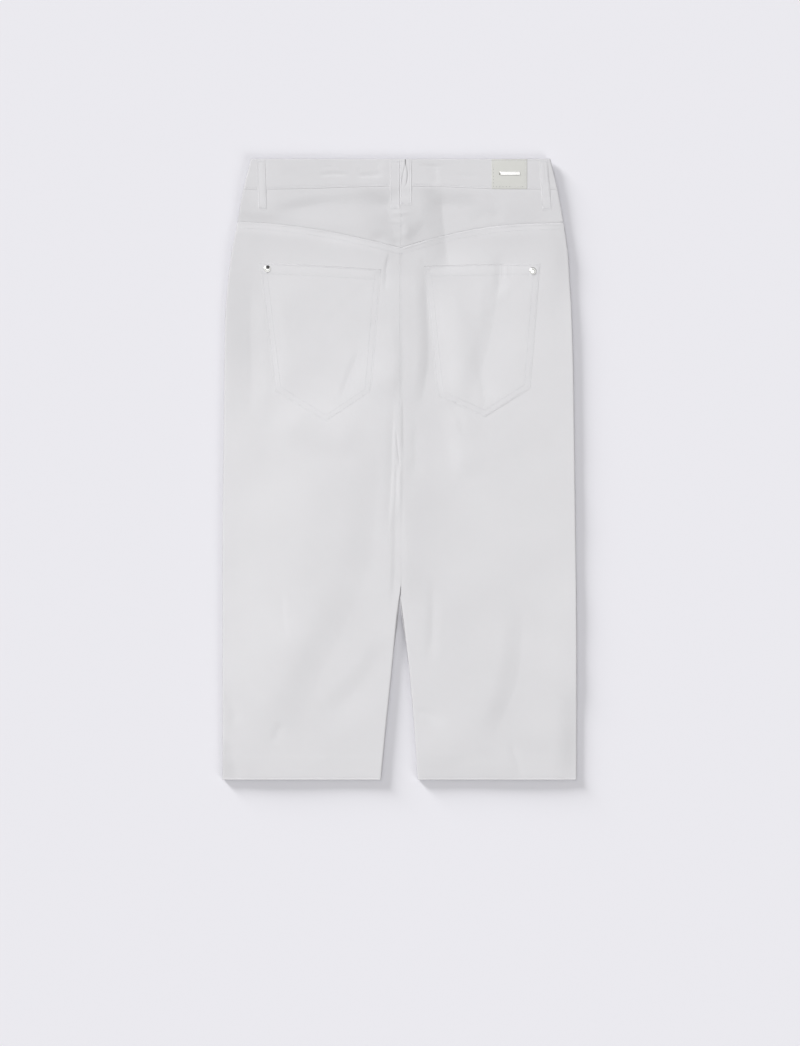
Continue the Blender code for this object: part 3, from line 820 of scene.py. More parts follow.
def painted_edge_shading(x, depth):
    """Painted shade along folded edges, most of all on the left, and painted light along the right hip's edge and the
    hem's fold.
    """
    part = np.clip(np.minimum(to_edge(x, depth), depth) / EDGE_SHADING_REACH, 0.0, 1.0)
    left = 0.09 * bell((x - OUTER["left"](depth)) / 0.0011) * ramp(depth, 0.14, 0.38)
    right = 0.14 * bell((OUTER["right"](depth) - x) / 0.0009) * window(depth, (0.015, 0.030), (0.125, 0.160))
    hem = 0.045 * bell((LENGTH - depth - 0.0010) / 0.0012)
    return 1.0 - EDGE_PAINTED_SHADE * (1.0 - part) ** 1.5 - left + right + hem


# Painted light makes the left thigh paler; this line is the edge of it.
THIGH_LIGHT_EDGE = (  # depth and place of the edge of the whiter left thigh
    (0.22, -0.024), (0.30, -0.034), (0.36, -0.056), (0.45, -0.072), (0.50, -0.086), (0.55, -0.100),
    (0.60, -0.118), (0.65, -0.138), (0.70, -0.166), (0.78, -0.210),
)

Stripe = namedtuple("Stripe", "x wide rise fall change")

# Painted shade that runs down the cloth in stripes: place, reach, the depths where each begins and ends, and its
# change.
PAINTED_STRIPES = (
    Stripe(0.026, 0.036, (0.110, 0.180), (0.46, 0.64), -0.028),
    Stripe(-0.210, 0.040, (-0.010, 0.0), (0.22, 0.38), -0.035),
    Stripe(0.0, 0.062, (0.035, 0.040), (0.100, 0.140), -0.026),
    Stripe(0.040, 0.011, (0.035, 0.040), (0.055, 0.080), -0.040),
    Stripe(-0.034, 0.019, (0.035, 0.040), (0.042, 0.052), -0.040),
)

Tone = namedtuple("Tone", "x depth wide high change")

# Painted light and shade: places in millimetres where the cloth is painted a little whiter or greyer, and how far that
# reaches.
PAINTED_TONES = [Tone(*row) for row in (
    (-40, 620, 35, 45, -0.024), (40, 580, 25, 40, -0.022), (160, 660, 35, 40, -0.028),
    (125, 705, 30, 30, -0.024), (160, 745, 30, 25, -0.024), (140, 782, 40, 14, -0.026),
    (-200, 780, 22, 20, -0.030), (205, 120, 14, 45, -0.030), (-182, 230, 12, 80, -0.020),
    (-120, 600, 35, 40, 0.022), (100, 300, 25, 30, 0.018), (95, 400, 25, 30, 0.020),
    (0, 100, 25, 16, -0.040), (20, 140, 40, 14, -0.030), (-16, 76, 14, 8, -0.025),
    (-7, 104, 9, 5, -0.060), (8, 92, 5, 5, 0.035), (3, 125, 2.5, 14, -0.030), (-10, 140, 8, 24, -0.030),
    (-70, 248, 16, 16, 0.014), (-28, 262, 14, 34, 0.014), (-96, 318, 24, 14, 0.014),
    (-29, 144, 4, 3, -0.035), (38, 140.5, 4, 1.3, -0.10), (52, 215, 7, 45, 0.020),
    (152, 1.0, 40, 1.4, -0.060), (-180, 20, 34, 24, 0.032), (-176, 50, 18, 14, 0.036),
    (-200, 100, 14, 40, 0.022), (-160, 140, 22, 36, 0.022), (-70, 50, 40, 7, 0.030),
    (-38, 44, 20, 6, -0.020), (20, 100, 14, 14, -0.030), (20, 86, 16, 14, -0.022),
    (200, 180, 16, 80, -0.020), (120, 300, 14, 16, 0.018), (0, 255, 8, 40, 0.025),
    (0, 520, 16, 28, -0.024), (180, 745, 40, 20, -0.017), (80, 600, 20, 90, -0.012),
    (-191, 240, 2.8, 46, -0.018), (38, 42, 13, 7, -0.035), (104, 68, 14, 10, -0.018),
    (62, 275, 12, 28, 0.018), (60, 180, 13, 28, -0.012), (207, 132, 8, 30, -0.018),
    (40, 250, 10, 40, -0.018), (140, 100, 40, 16, -0.014), (193, 20, 6, 18, -0.040),
    (216, 740, 12, 46, -0.050), (-220, 772, 11, 24, -0.050), (-217, 710, 6, 18, -0.025),
    (50, 715, 10, 10, 0.020), (-178, 320, 14, 60, -0.014), (50, 125, 8, 12, -0.030),
    (33, 190, 5, 60, -0.020), (12, 360, 8, 60, -0.020), (172, 600, 14, 40, -0.010),
    (-80, 100, 24, 12, 0.022), (0, 480, 16, 60, -0.018), (40, 270, 10, 30, -0.020),
    (-40, 505, 16, 24, -0.018), (-120, 340, 24, 20, -0.016),
)]


def painted_light_and_shade(x, depth):
    """Painted light and shade: the cloth is painted a little paler on the left thigh and greyer at the waist, the seat
    and the hems, with stripes and spots of painted light and shade.
    """
    tone = 1.0 - 0.042 * (1.0 - ramp(depth, 0.090, 0.160))
    thigh = ramp(depth, 0.20, 0.29) * (1.0 - ramp(x - np.interp(depth, *zip(*THIGH_LIGHT_EDGE)), -0.026, 0.026))
    tone = tone + 0.032 * thigh - 0.016 * ramp(depth, 0.60, 0.76)
    for stripe in PAINTED_STRIPES:
        strength = bell((x - stripe.x) / stripe.wide) * window(depth, stripe.rise, stripe.fall)
        tone = tone + stripe.change * strength
    for spot in PAINTED_TONES:
        aside, below = (x / MM - spot.x) / spot.wide, (depth / MM - spot.depth) / spot.high
        tone = tone + spot.change * bell(np.hypot(aside, below))
    return tone - 0.018 * ramp(depth, 0.752, 0.760) * window(x, (0.0, 0.05), (0.14, 0.17))


def map_cut(mesh, across, down, worn):
    """Gives the mesh its map of the cut, in metres, and its painted light and shade at each corner."""
    corner = np.zeros(len(mesh.loops), np.int32)
    mesh.loops.foreach_get("vertex_index", corner)
    layer = mesh.uv_layers.new(name="cut")
    layer.uv.foreach_set("vector", np.stack([across, -down], 1)[corner].astype(np.float32).ravel())
    shade = mesh.attributes.new("worn", "FLOAT", "POINT")
    shade.data.foreach_set("value", worn.astype(np.float32))


def lay_cloth(
    name, across, down, edges, top, bottom, height,
    material=COTTON, wall=CLOTH_WALL, face_down=False, seam_shade=None,
):
    """Lays a grid between two edges, given by depth, and two seams, given by place across."""
    sheet = bmesh.new()
    columns, rows = len(across) - 1, len(down) - 1
    bmesh.ops.create_grid(sheet, x_segments=columns, y_segments=rows, size=0.5)
    if face_down:
        bmesh.ops.reverse_faces(sheet, faces=sheet.faces[:])
    piece = new_piece(name, sheet, material)
    thicken = piece.modifiers.new("thickness", "SOLIDIFY")
    thicken.thickness = wall
    thicken.offset = -1.0
    places = points_of(piece.data).astype(float)
    part_across = across[np.rint((places[:, 0] + 0.5) * columns).astype(int)]
    part_down = down[np.rint((0.5 - places[:, 1]) * rows).astype(int)]
    depth = LENGTH * part_down
    for _ in range(LAY_PASSES):
        left, right = edges(depth)
        x = left + (right - left) * part_across
        depth = top(x) + (bottom(x) - top(x)) * part_down
    # Painted light and shade of the cloth, kept in an attribute that the finish multiplies its colour by.
    shade = painted_edge_shading(x, depth) * painted_light_and_shade(x, depth)
    if seam_shade:
        shade = shade * seam_shade(x, depth)
    map_cut(piece.data, x, depth, shade)
    move_points(piece.data, np.stack([x, LENGTH / 2 - depth, height(x, depth)], 1))
    print(name, len(piece.data.polygons), "cells")


def straight(value):
    """A seam or an edge that stays at one value all along."""
    return lambda place: np.full_like(place, value)


def yoke_shade(x, depth):
    """Painted light and shade by the yoke seam: right of the yoke's point a pale line and a dark one, and below the
    seam a paler strip on the left and a darker line on the right.
    """
    below = depth - yoke_depth(x)
    strength = window(x, (0.003, 0.008), (0.030, 0.036))
    strip = 0.035 * window(below, (0.0005, 0.0025), (0.009, 0.017)) * (1.0 - ramp(x, -0.030, -0.015))
    strip = strip - 0.055 * bell((below - 0.0020) / 0.0016) * ramp(x, 0.115, 0.135)
    lines = 0.045 * bell((below - 0.0016) / 0.0007) - 0.055 * bell((below - 0.0031) / 0.0007)
    return 1.0 + strength * lines + strip


def half_columns(side, width, step, inner):
    """Columns across one half, with closer ones towards its outer edge and towards the middle."""
    return shares(width, step, *((ROUNDING_STEPS, inner) if side == "left" else (inner, ROUNDING_STEPS)))


for half in HALVES:
    lay_cloth(
        "back_panel_" + half,
        half_columns(half, PANEL_WIDTH, BACK_STEP, CROTCH_STEPS),
        shares(LENGTH - YOKE_SIDE_DEPTH, BACK_STEP, SEAM_STEPS, ROUNDING_STEPS),
        half_edges(half),
        yoke_depth,
        straight(LENGTH),
        back_height,
        seam_shade=yoke_shade,
    )

# %% [markdown]
# The yoke is the shaped strip between waistband and panels that fits the seat without darts. It is cut as two
# halves with a seam at the centre back. Its top edge runs up under the waistband.

# %% The yoke
YOKE_UNDER_BAND = 0.0030


def band_edge_shade(x, depth):
    """Painted light along the foot of the waistband's thick edge, and a painted pale line on the cloth by the left
    side loop.
    """
    foot = (0.04 + 0.03 * ramp(x, 0.0, 0.08)) * bell((depth - band_depth(x)) / 0.0011)
    return 1.0 + foot + 0.06 * bell((x + 0.1692) / 0.0007) * window(depth, (0.002, 0.006), (0.028, 0.040))


for half in HALVES:
    lay_cloth(
        "yoke_half_" + half,
        half_columns(half, YOKE_HALF, 0.0016, (0.0006, 0.0012, 0.0020, 0.0030)),
        shares(0.060, 0.0014, (), SEAM_STEPS[:4]),
        half_edges(half),
        lambda x: band_depth(x) - YOKE_UNDER_BAND,
        yoke_depth,
        back_height,
        seam_shade=band_edge_shade,
    )

# %% [markdown]
# The pockets are laid the same way, between their two sides, the mouth and the V of their lower edge.

# %% The patch pockets
# The fine pleats below have no relief and are only painted light and shade.
PAINTED_PLEATS = creases(  # fine pleats in the right pocket's mouth
    (((129.5, 131), (129.5, 143), (129.5, 155)), 1.4, 1.2, 0.060, 0.1),
    (((133.4, 131), (133.4, 143), (133.4, 155)), 1.5, 1.5, -0.035, 0.1),
    (((137.5, 130), (137.5, 142), (137.5, 154)), 1.3, 1.3, 0.045, 0.1),
    (((143.5, 131), (143.5, 143), (143.5, 155)), 2.0, 2.0, -0.025, 0.1),
)
# Painted light makes a pale line down each pocket's left side. It begins and ends over these depths.
PAINTED_PALE_LINE = {"left": (0.168, 0.182), "right": (0.148, 0.170)}
PALE_LINE_END = (0.285, 0.300)
PALE_LINE_SEED = 5
POCKET_EDGE_STEPS = (0.0003, 0.0008, 0.0014, 0.0021, 0.0030)


def pocket_shade(side, x, depth):
    """Painted shade along the sewn edges where they stand up and painted light where they lie low, a painted dark
    line along the mouth, painted pale lines down the left side and, on the right pocket, its painted pleats.
    """
    insets = np.abs(pocket_insets(side, x, depth))
    sewn = insets[:4].min(0)
    mouth = np.abs(depth - mouth_depth(side, x))
    play = edge_play(side, insets, mouth)
    edge = 0.09 * play * bell(sewn / 0.0008)
    edge = edge - 0.035 * np.clip(1.0 - 5.0 * play, 0.0, 1.0) * bell(sewn / 0.0013)
    pale_line = window(depth, PAINTED_PALE_LINE[side], PALE_LINE_END) * (1.0 + 0.7 * ripples(depth, PALE_LINE_SEED))
    rows = bell((insets[0] - 0.0024) / 0.0010) + 0.6 * bell((insets[0] - 0.0068) / 0.0010)
    edge = edge - 0.036 * pale_line * rows
    if side == "right":
        edge = edge + creases_rise(x, depth, PAINTED_PLEATS) / MM
        line = 0.25 - 0.15 * ramp(x, 0.128, 0.136)
    else:
        line = 0.06 + 0.16 * ramp(x, -0.136, -0.116)
    return 1.0 - edge - line * bell(mouth / 0.0009)


for half in HALVES:
    lay_cloth(
        "patch_pocket_" + half,
        shares(0.147, 0.0013, POCKET_EDGE_STEPS, POCKET_EDGE_STEPS),
        shares(0.175, 0.0017, POCKET_EDGE_STEPS, POCKET_EDGE_STEPS),
        pocket_edges(half),
        partial(mouth_depth, half),
        partial(pocket_bottom, half),
        partial(pocket_height, half),
        seam_shade=partial(pocket_shade, half),
    )

# %% [markdown]
# The waistband is a folded strip with a stiffener, so it lies flatter than the cloth below it. Its top edge
# is a fold and its lower edge is turned under and stitched down. The front halves lie under it, face down.

# %% The waistband
BAND_WALL = 0.0019
BAND_TOP_FALL = 0.0013  # how far its top edge rounds down
BAND_LOW_FALL = 0.0002  # and its lower edge
BAND_EDGE = 0.0014
BAND_STITCHES = 0.0024  # above the band's lower edge
BAND_RIPPLE, BAND_SEED = 0.00007, 31
BAND_EDGE_STEPS = (0.0003, 0.0007, 0.0014, 0.0024, 0.0034)


def band_height(x, depth):
    """Upper face of the back waistband."""
    above = band_depth(x) - depth
    edge = BAND_SEAM_LEVEL + GAP / 2
    fall = BAND_TOP_FALL * (1.0 - shoulder(depth / BAND_EDGE))
    fall = fall + BAND_LOW_FALL * (1.0 - shoulder(above / BAND_EDGE))
    pull = 0.8 * STITCH_PULL * bell((above - BAND_STITCHES) / PULL_WIDTH)
    ripple = BAND_RIPPLE * bell((above - 0.004) / 0.004) * ripples(x, BAND_SEED)
    return edge + (band_level(x, depth) - edge) * rounding(x, depth) - fall - pull + ripple


def front_band_height(x, depth):
    """Lower face of the front waistband."""
    edge = BAND_SEAM_LEVEL - GAP / 2
    return edge + (FRONT_WAIST_LEVEL - edge) * rounding(x, depth) + 0.0010 * bell(depth / 0.0012)


lay_cloth(
    "back_waistband",
    shares(0.39, 0.0018, ROUNDING_STEPS, ROUNDING_STEPS),
    shares(BAND_SIDE_DEPTH, 0.0014, BAND_EDGE_STEPS, BAND_EDGE_STEPS),
    full_edges,
    straight(0.0),
    band_depth,
    band_height,
    BAND_COTTON,
    BAND_WALL,
    seam_shade=band_edge_shade,
)
for half in HALVES:
    lay_cloth(
        "front_waistband_" + half,
        shares(0.195, 0.0030, ROUNDING_STEPS, ROUNDING_STEPS),
        shares(BAND_SIDE_DEPTH, 0.0022, BAND_EDGE_STEPS[:3], BAND_EDGE_STEPS[:3]),
        half_edges(half),
        straight(0.0),
        band_depth,
        front_band_height,
        BAND_COTTON,
        BAND_WALL,
        face_down=True,
    )

# %% [markdown]
# The front panels are underneath, outer face down. They lie flat where they rest, with the same kind of soft
# creases as the back, lifted off the surface. At the waist they rise over the belt loops below them.

# %% The front panels
LOOP_CLEAR_DEPTH = 0.066  # the front lies on its belt loops down to here
FRONT_FLAT_DEPTH = 0.092  # and flat from here
FRONT_CREASES = creases(
    (((-30, 300), (-50, 420), (-110, 600), (-150, 700)), 44, 26, 1.2, 0.3),
    (((30, 280), (46, 400), (60, 540), (96, 690)), 30, 46, 1.1, 0.3),
    (((-20, 190), (-70, 210), (-120, 190)), 14, 14, 0.7, 0.2),
    (((20, 200), (80, 226), (130, 214)), 14, 16, 0.6, 0.2),
    (((-190, 420), (-170, 520), (-190, 640)), 22, 22, 0.8, 0.2),
    (((186, 380), (170, 500), (180, 600)), 22, 26, 0.8, 0.2),
    (((-60, 620), (-84, 690), (-90, 750)), 14, 12, 0.6, 0.4),
    (((120, 640), (140, 700), (132, 760)), 14, 12, 0.6, 0.4),
)


def front_rise(depth):
    """How far the belt loops lift the front at the waist."""
    return FRONT_WAIST_LEVEL * (1.0 - ramp(depth, LOOP_CLEAR_DEPTH, FRONT_FLAT_DEPTH))


def front_height(x, depth):
    """Lower face of the front panels."""
    level = front_rise(depth) + creases_rise(x, depth, FRONT_CREASES)
    edge = seam_height(depth) - GAP / 2
    return edge + (level - edge) * rounding(x, depth) + hem_fall(depth)


INSEAM_LEDGE = 0.0014


def front_edges(side):
    """As the back's edges, but where the legs part the front's inner edge shows a little."""

    def at(depth):
        left, right = half_edges(side)(depth)
        ledge = INSEAM_LEDGE * window(depth, (0.540, 0.553), (0.575, 0.625))
        return (left, right + ledge) if side == "left" else (left - ledge, right)

    return at


for half in HALVES:
    lay_cloth(
        "front_panel_" + half,
        shares(PANEL_WIDTH, FRONT_STEP, ROUNDING_STEPS, ROUNDING_STEPS),
        shares(LENGTH - BAND_SIDE_DEPTH, FRONT_STEP, (), ROUNDING_STEPS),
        front_edges(half),
        band_depth,
        straight(LENGTH),
        front_height,
        face_down=True,
    )

# %% [markdown]
# Six belt loops: narrow folded strips. The four at the back have a row of stitches along each edge, are turned
# under at both ends and held there by dense bar tacks, and bow up a little over the waistband. The one just
# right of the centre is puckered, and the slit at its top, where its two edges do not quite meet, is a painted dark
# line.

# %% The belt loops
Loop = namedtuple("Loop", "top_x end_x end_depth width bow")

BACK_LOOPS = {
    "belt_loop_side_left": Loop(-0.17575, -0.1735, 0.0650, 0.0107, 0.00010),
    "belt_loop_centre_left": Loop(-0.0058, -0.0060, 0.0632, 0.0124, 0.00008),
    "belt_loop_centre_right": Loop(0.0084, 0.0083, 0.0588, 0.0146, 0.00010),
    "belt_loop_side_right": Loop(0.1822, 0.1873, 0.0655, 0.0112, 0.00014),
}
LOOP_TOP_DEPTH = 0.0008
LOOP_WALL = 0.0006
LOOP_STEP = 0.010  # length over which a loop comes down from the waistband to the yoke
LOOP_ROLLS = (0.0010, 0.0011)  # how far in the two edges round over
LOOP_END_ROLL = 0.0085
LOOP_LIFT = 0.00019
LOOP_TURN = 0.00006  # the ends are turned under, so they are thicker by this
LOOP_GAP = 0.00006
LOOP_SEW_INSET = 0.0020  # its rows of stitches, in from its edges
SLIT_ASIDE = 0.0009  # how far the slit lies left of its loop's middle


def part_down(loop, depth):
    """How far down a loop a depth is, from 0 at its top to 1 at its end."""
    return (depth - LOOP_TOP_DEPTH) / (loop.end_depth - LOOP_TOP_DEPTH)


def loop_middle(loop, depth):
    """Place of a loop's middle line at a depth."""
    return loop.top_x + (loop.end_x - loop.top_x) * part_down(loop, depth)


def loop_height(loop, aside, depth):
    """Upper face of a loop, at a distance from its middle line."""
    x = loop_middle(loop, depth) + aside
    band = band_height(x, np.minimum(depth, band_depth(x) - 0.004))
    band = np.maximum(band, BAND_LEVEL - 0.0003)
    yoke = back_height(x, np.maximum(depth, band_depth(x)))
    lowering = ramp(depth, band_depth(x) - 0.001, band_depth(x) + LOOP_STEP)
    support = band + (yoke - band) * lowering
    down = np.clip(part_down(loop, depth), 0.0, 1.0)
    bow = loop.bow * 4.0 * down * (1.0 - down)
    across = np.minimum((loop.width / 2 + aside) / LOOP_ROLLS[0], (loop.width / 2 - aside) / LOOP_ROLLS[1])
    ends = ramp(np.minimum(depth - LOOP_TOP_DEPTH, loop.end_depth - depth), -0.0004, LOOP_END_ROLL)
    turned = ramp(depth, loop.end_depth - 0.012, loop.end_depth - 0.007)
    turned = turned + 1.0 - ramp(depth, LOOP_TOP_DEPTH + 0.006, LOOP_TOP_DEPTH + 0.010)
    pull = 0.6 * STITCH_PULL * bell((loop.width / 2 - np.abs(aside) - LOOP_SEW_INSET) / 0.0008)
    return support + LOOP_GAP + (bow + LOOP_LIFT + LOOP_TURN * turned) * shoulder(across) * ends - pull


# In millimetres from the loop's middle line and down from the waist: the relief of the leaf-shaped pucker below
# the slit, and the painted light and shade of both, in which the slit is only a painted dark line.
PUCKER = creases(
    (((-0.9, 5), (-3.4, 15), (-4.9, 24), (-5.9, 38)), 1.3, 1.6, -0.22, 0.5),
    (((-0.6, 5), (1.9, 15), (2.1, 23), (0.6, 31), (-3.0, 37)), 1.6, 1.3, -0.22, 0.5),
    (((-0.6, 12), (-0.4, 20), (-0.8, 29)), 1.6, 1.6, 0.22, 0.2),
)
PUCKER_SHADE = creases(
    (((-0.9, -12), (-0.9, 3), (-0.8, 12)), 1.2, 1.2, 0.80, 0.1),
    (((-1.2, 5), (-3.4, 15), (-4.9, 24), (-5.9, 38)), 1.2, 1.2, 0.22, 0.2),
    (((-0.5, 5), (1.4, 15), (1.5, 23), (0.3, 31), (-3.0, 37)), 1.2, 1.2, 0.30, 0.2),
    (((4.4, -12), (4.2, 8), (4.0, 22)), 1.1, 1.1, 0.08, 0.2),
    (((5.9, 8), (5.9, 38), (5.9, 72)), 1.2, 1.3, -0.11, 0.2),
    (((-4.8, -12), (-4.8, 20), (-4.8, 40)), 1.0, 1.0, -0.06, 0.2),
)
# Painted light and shade in fine streaks along the right side loop's length; they have no relief.
SIDE_LOOP_PAINTED_STREAKS = creases(
    (((4.3, 2), (4.3, 20), (4.4, 38)), 0.9, 0.9, 0.12, 0.2),
    (((2.4, -10), (2.4, 30), (2.6, 72)), 1.1, 1.1, -0.04, 0.2),
    (((0.4, -4), (0.4, 14), (0.4, 32)), 0.9, 0.9, 0.05, 0.2),
    (((-3.4, -6), (-3.4, 30), (-3.4, 60)), 1.4, 1.4, -0.05, 0.2),
)

LOOP_COLUMNS = np.concatenate([[0.0, 0.02, 0.06], np.linspace(0.10, 0.90, 30), [0.94, 0.98, 1.0]])
LOOP_END_STEPS = (0.0002, 0.0006)
# The painted light and shade that each loop adds, at a distance from its middle line.
LOOP_PAINTED_SHADING = {
    "belt_loop_side_left": lambda aside, depth: 0.022
    - 0.20 * bell((aside + 0.00535) / 0.0007) * (1.0 - ramp(depth, 0.036, 0.046)),
    "belt_loop_centre_left": lambda aside, depth: 0.040 * ramp(depth, 0.044, 0.054)
    + 0.060 * bell((aside - 0.0045) / 0.0011),
    "belt_loop_centre_right": lambda aside, depth: 0.030 + 0.015 * ramp(depth, 0.030, 0.040)
    - creases_rise(aside, depth, PUCKER_SHADE) / MM,
    "belt_loop_side_right": lambda aside, depth: 0.030 * ramp(depth, 0.020, 0.042)
    - creases_rise(aside, depth, SIDE_LOOP_PAINTED_STREAKS) / MM,
}


def loop_sheet(name, loop):
    """Lays one of the four loops at the back."""

    def height(x, depth):
        aside = x - loop_middle(loop, depth)
        lift = loop_height(loop, aside, depth)
        return lift + creases_rise(aside, depth, PUCKER) if name == "belt_loop_centre_right" else lift

    def shade(x, depth):
        aside = x - loop_middle(loop, depth)
        end = np.minimum(depth - LOOP_TOP_DEPTH, loop.end_depth - depth)
        # Painted shade along the loop's edges and ends, and each loop's own painted light and shade.
        worn = 1.0 - 0.03 * bell((loop.width / 2 - np.abs(aside)) / 0.0006) - 0.02 * bell(end / 0.0008)
        return worn + LOOP_PAINTED_SHADING[name](aside, depth)

    lay_cloth(
        name,
        LOOP_COLUMNS,
        shares(loop.end_depth - LOOP_TOP_DEPTH, 0.0010, LOOP_END_STEPS, LOOP_END_STEPS),
        lambda depth: (loop_middle(loop, depth) - loop.width / 2, loop_middle(loop, depth) + loop.width / 2),
        straight(LOOP_TOP_DEPTH),
        straight(loop.end_depth),
        height,
        wall=LOOP_WALL,
        seam_shade=shade,
    )


for loop_name, back_loop in BACK_LOOPS.items():
    loop_sheet(loop_name, back_loop)

FRONT_LOOP_X = {"belt_loop_front_left": -0.094, "belt_loop_front_right": 0.098}
FRONT_LOOP_WIDTH = 0.0110
FRONT_LOOP_END = 0.0632

for loop_name, loop_x in FRONT_LOOP_X.items():
    lay_cloth(
        loop_name,
        np.linspace(0.0, 1.0, 9),
        np.linspace(0.0, 1.0, 31),
        lambda depth, x=loop_x: (x - FRONT_LOOP_WIDTH / 2, x + FRONT_LOOP_WIDTH / 2),
        straight(LOOP_TOP_DEPTH),
        straight(FRONT_LOOP_END),
        lambda x, depth: 0.0003 * bell((depth - LOOP_TOP_DEPTH) / 0.0010),
        wall=LOOP_WALL,
        face_down=True,
    )

# %% [markdown]
# The patch on the waistband is a plain piece of pale board-like leather with a plain metal bar and nothing
# written on it. Its surface is a fine grain from Voronoi cells and noise, a little shinier than the cloth.

# %% The leather patch
PATCH_LEFT, PATCH_RIGHT = 0.1170, 0.1620
PATCH_TOP, PATCH_END = 0.0006, 0.0386
PATCH_WALL = 0.0009
PATCH_ROLL = 0.0008
PATCH_LIFT, PATCH_CROWN = 0.0001, 0.0002  # its edge above the waistband, and its middle above its edge
PATCH_FALL = 0.00028
PATCH_PULL = 0.00012
PATCH_INSET = 0.0022  # of its row of stitches
PATCH_EDGE_STEPS = (0.0002, 0.0005, 0.0009, 0.0015, 0.0022, 0.0029)
PATCH_COLOUR = (0.700, 0.700, 0.668)


def patch_height(x, depth):
    """Upper face of the patch, which bends down a little over the waistband's lower edge."""
    to_sides = np.minimum(x - PATCH_LEFT, PATCH_RIGHT - x)
    inset = np.minimum(to_sides, np.minimum(depth - PATCH_TOP, PATCH_END - depth))
    pull = PATCH_PULL * bell((inset - PATCH_INSET) / 0.0007)
    fall = PATCH_FALL * (1.0 - np.clip((PATCH_END - depth) / 0.0024, 0.0, 1.0)) ** 2
    return band_level(x, depth) + PATCH_LIFT + PATCH_CROWN * shoulder(inset / PATCH_ROLL) - pull - fall


def leather(name):
    material, tree, shader = new_finish(name)
    cut, worn = on_cut(tree)
    grain = add_node(tree, "ShaderNodeTexVoronoi", Scale=1100.0, feature="DISTANCE_TO_EDGE")
    tree.links.new(cut, grain.inputs["Vector"])
    blotch = noise(tree, cut, 0.006)
    shade = times(tree, between(tree, blotch, 0.97, 1.03), worn)
    relief = (grain.outputs["Distance"], 0.35, 0.00008)
    dress(tree, shader, shade, PATCH_COLOUR, (blotch, 0.42, 0.60), relief)
    return material


lay_cloth(
    "leather_patch",
    shares(PATCH_RIGHT - PATCH_LEFT, 0.0012, PATCH_EDGE_STEPS, PATCH_EDGE_STEPS),
    shares(PATCH_END - PATCH_TOP, 0.0012, PATCH_EDGE_STEPS, PATCH_EDGE_STEPS),
    lambda depth: (straight(PATCH_LEFT)(depth), straight(PATCH_RIGHT)(depth)),
    straight(PATCH_TOP),
    straight(PATCH_END),
    patch_height,
    leather("pale_leather"),
    PATCH_WALL,
    # Painted shade: a thin dark line along the patch's right edge.
    seam_shade=lambda x, depth: 1.0 - 0.15 * bell((PATCH_RIGHT - 0.0005 - x) / 0.0005),
)

# %% [markdown]
# The metal trim is pressed and polished: a bar with rounded ends on the patch, a domed rivet with a rolled
# rim on each pocket's outer corner, and the flat shank button of the waistband, which faces down. Round
# pieces are a profile turned with spin, and the bar is a block with its edges bevelled twice.

# %% The metal trim
def polished(name, colour=(0.80, 0.80, 0.78)):
    material, tree, shader = new_finish(name)
    spot = add_node(tree, "ShaderNodeTexCoord").outputs["Object"]
    haze = noise(tree, spot, 0.002)
    scratches = (noise(tree, spot, 0.0006), 0.10, 0.00005)
    dress(tree, shader, between(tree, haze, 0.90, 1.06), colour, (haze, 0.10, 0.24), scratches)
    shader.inputs["Metallic"].default_value = 1.0
    return material


POLISHED = polished("polished_metal_trim")
TURN_STEPS = 48
RIM_HEIGHT = 0.0005  # faces above this belong to the upper side


def finish_solid(name, solid, material):
    """Makes a closed bmesh a piece, with its faces turned outwards."""
    bmesh.ops.recalc_face_normals(solid, faces=solid.faces[:])
    return new_piece(name, solid, material)


def turned(name, profile, place, lean=(0.0, 0.0), dark_reflection=None):
    """Spins a profile of (radius, height) round an upright axis. lean pushes its top over, and the last argument is
    the place and radius of a spot on its upper face that is painted black, a painted dark reflection."""
    solid = bmesh.new()
    points = [solid.verts.new((radius, 0.0, height)) for radius, height in profile]
    edges = [solid.edges.new(pair) for pair in zip(points, points[1:])]
    bmesh.ops.spin(
        solid, geom=points + edges, cent=(0, 0, 0), axis=(0, 0, 1), angle=2 * math.pi, steps=TURN_STEPS,
        use_merge=True,
    )
    bmesh.ops.remove_doubles(solid, verts=solid.verts[:], dist=1e-6)
    for face in solid.faces if dark_reflection else ():
        spot = face.calc_center_median()
        if spot.z > RIM_HEIGHT and (spot.xy - Vector(dark_reflection[:2])).length < dark_reflection[2]:
            face.material_index = 1
    for point in solid.verts:
        point.co.x += lean[0] * point.co.z
        point.co.y += lean[1] * point.co.z
    bmesh.ops.translate(solid, verts=solid.verts[:], vec=place)
    piece = finish_solid(name, solid, POLISHED)
    if dark_reflection:
        piece.data.materials.append(polished("blackened_metal_trim", (0.10, 0.10, 0.10)))


RIVETS = {"left": (-0.1676, 0.1397), "right": (0.1692, 0.1422)}
RIVET_RIM = (
    (0.0033, 0.00072), (0.0036, 0.00080), (0.0040, 0.00078), (0.0043, 0.00060), (0.0045, 0.00035),
    (0.0045, 0.0), (0.0, 0.0),
)
# The left one was pressed to a blunt point and the right one almost flat, and both are pushed over a little.
RIVET_DOMES = {
    "left": ((0.0, 0.00130), (0.0008, 0.00128), (0.0016, 0.00120), (0.0024, 0.00106), (0.0030, 0.00088)),
    "right": ((0.0, 0.00120), (0.0018, 0.00119), (0.0026, 0.00112), (0.0030, 0.00096), (0.0032, 0.00080)),
}
RIVET_LEANS = {"left": (0.05, -0.10), "right": (-0.4, -0.9)}
# On the left rivet a spot of the upper face is painted black, a painted dark reflection.
RIVET_DARK_REFLECTION = {"left": (0.0005, 0.0024, 0.0025), "right": None}
TRIM_SUNK = 0.0001  # metal sits this far into what it is fixed to


def on_top(height, x, depth):
    """A place on an upper face, as (x, y, z), with the trim sunk in a little."""
    return x, LENGTH / 2 - depth, height(np.array([x]), np.array([depth]))[0] - TRIM_SUNK


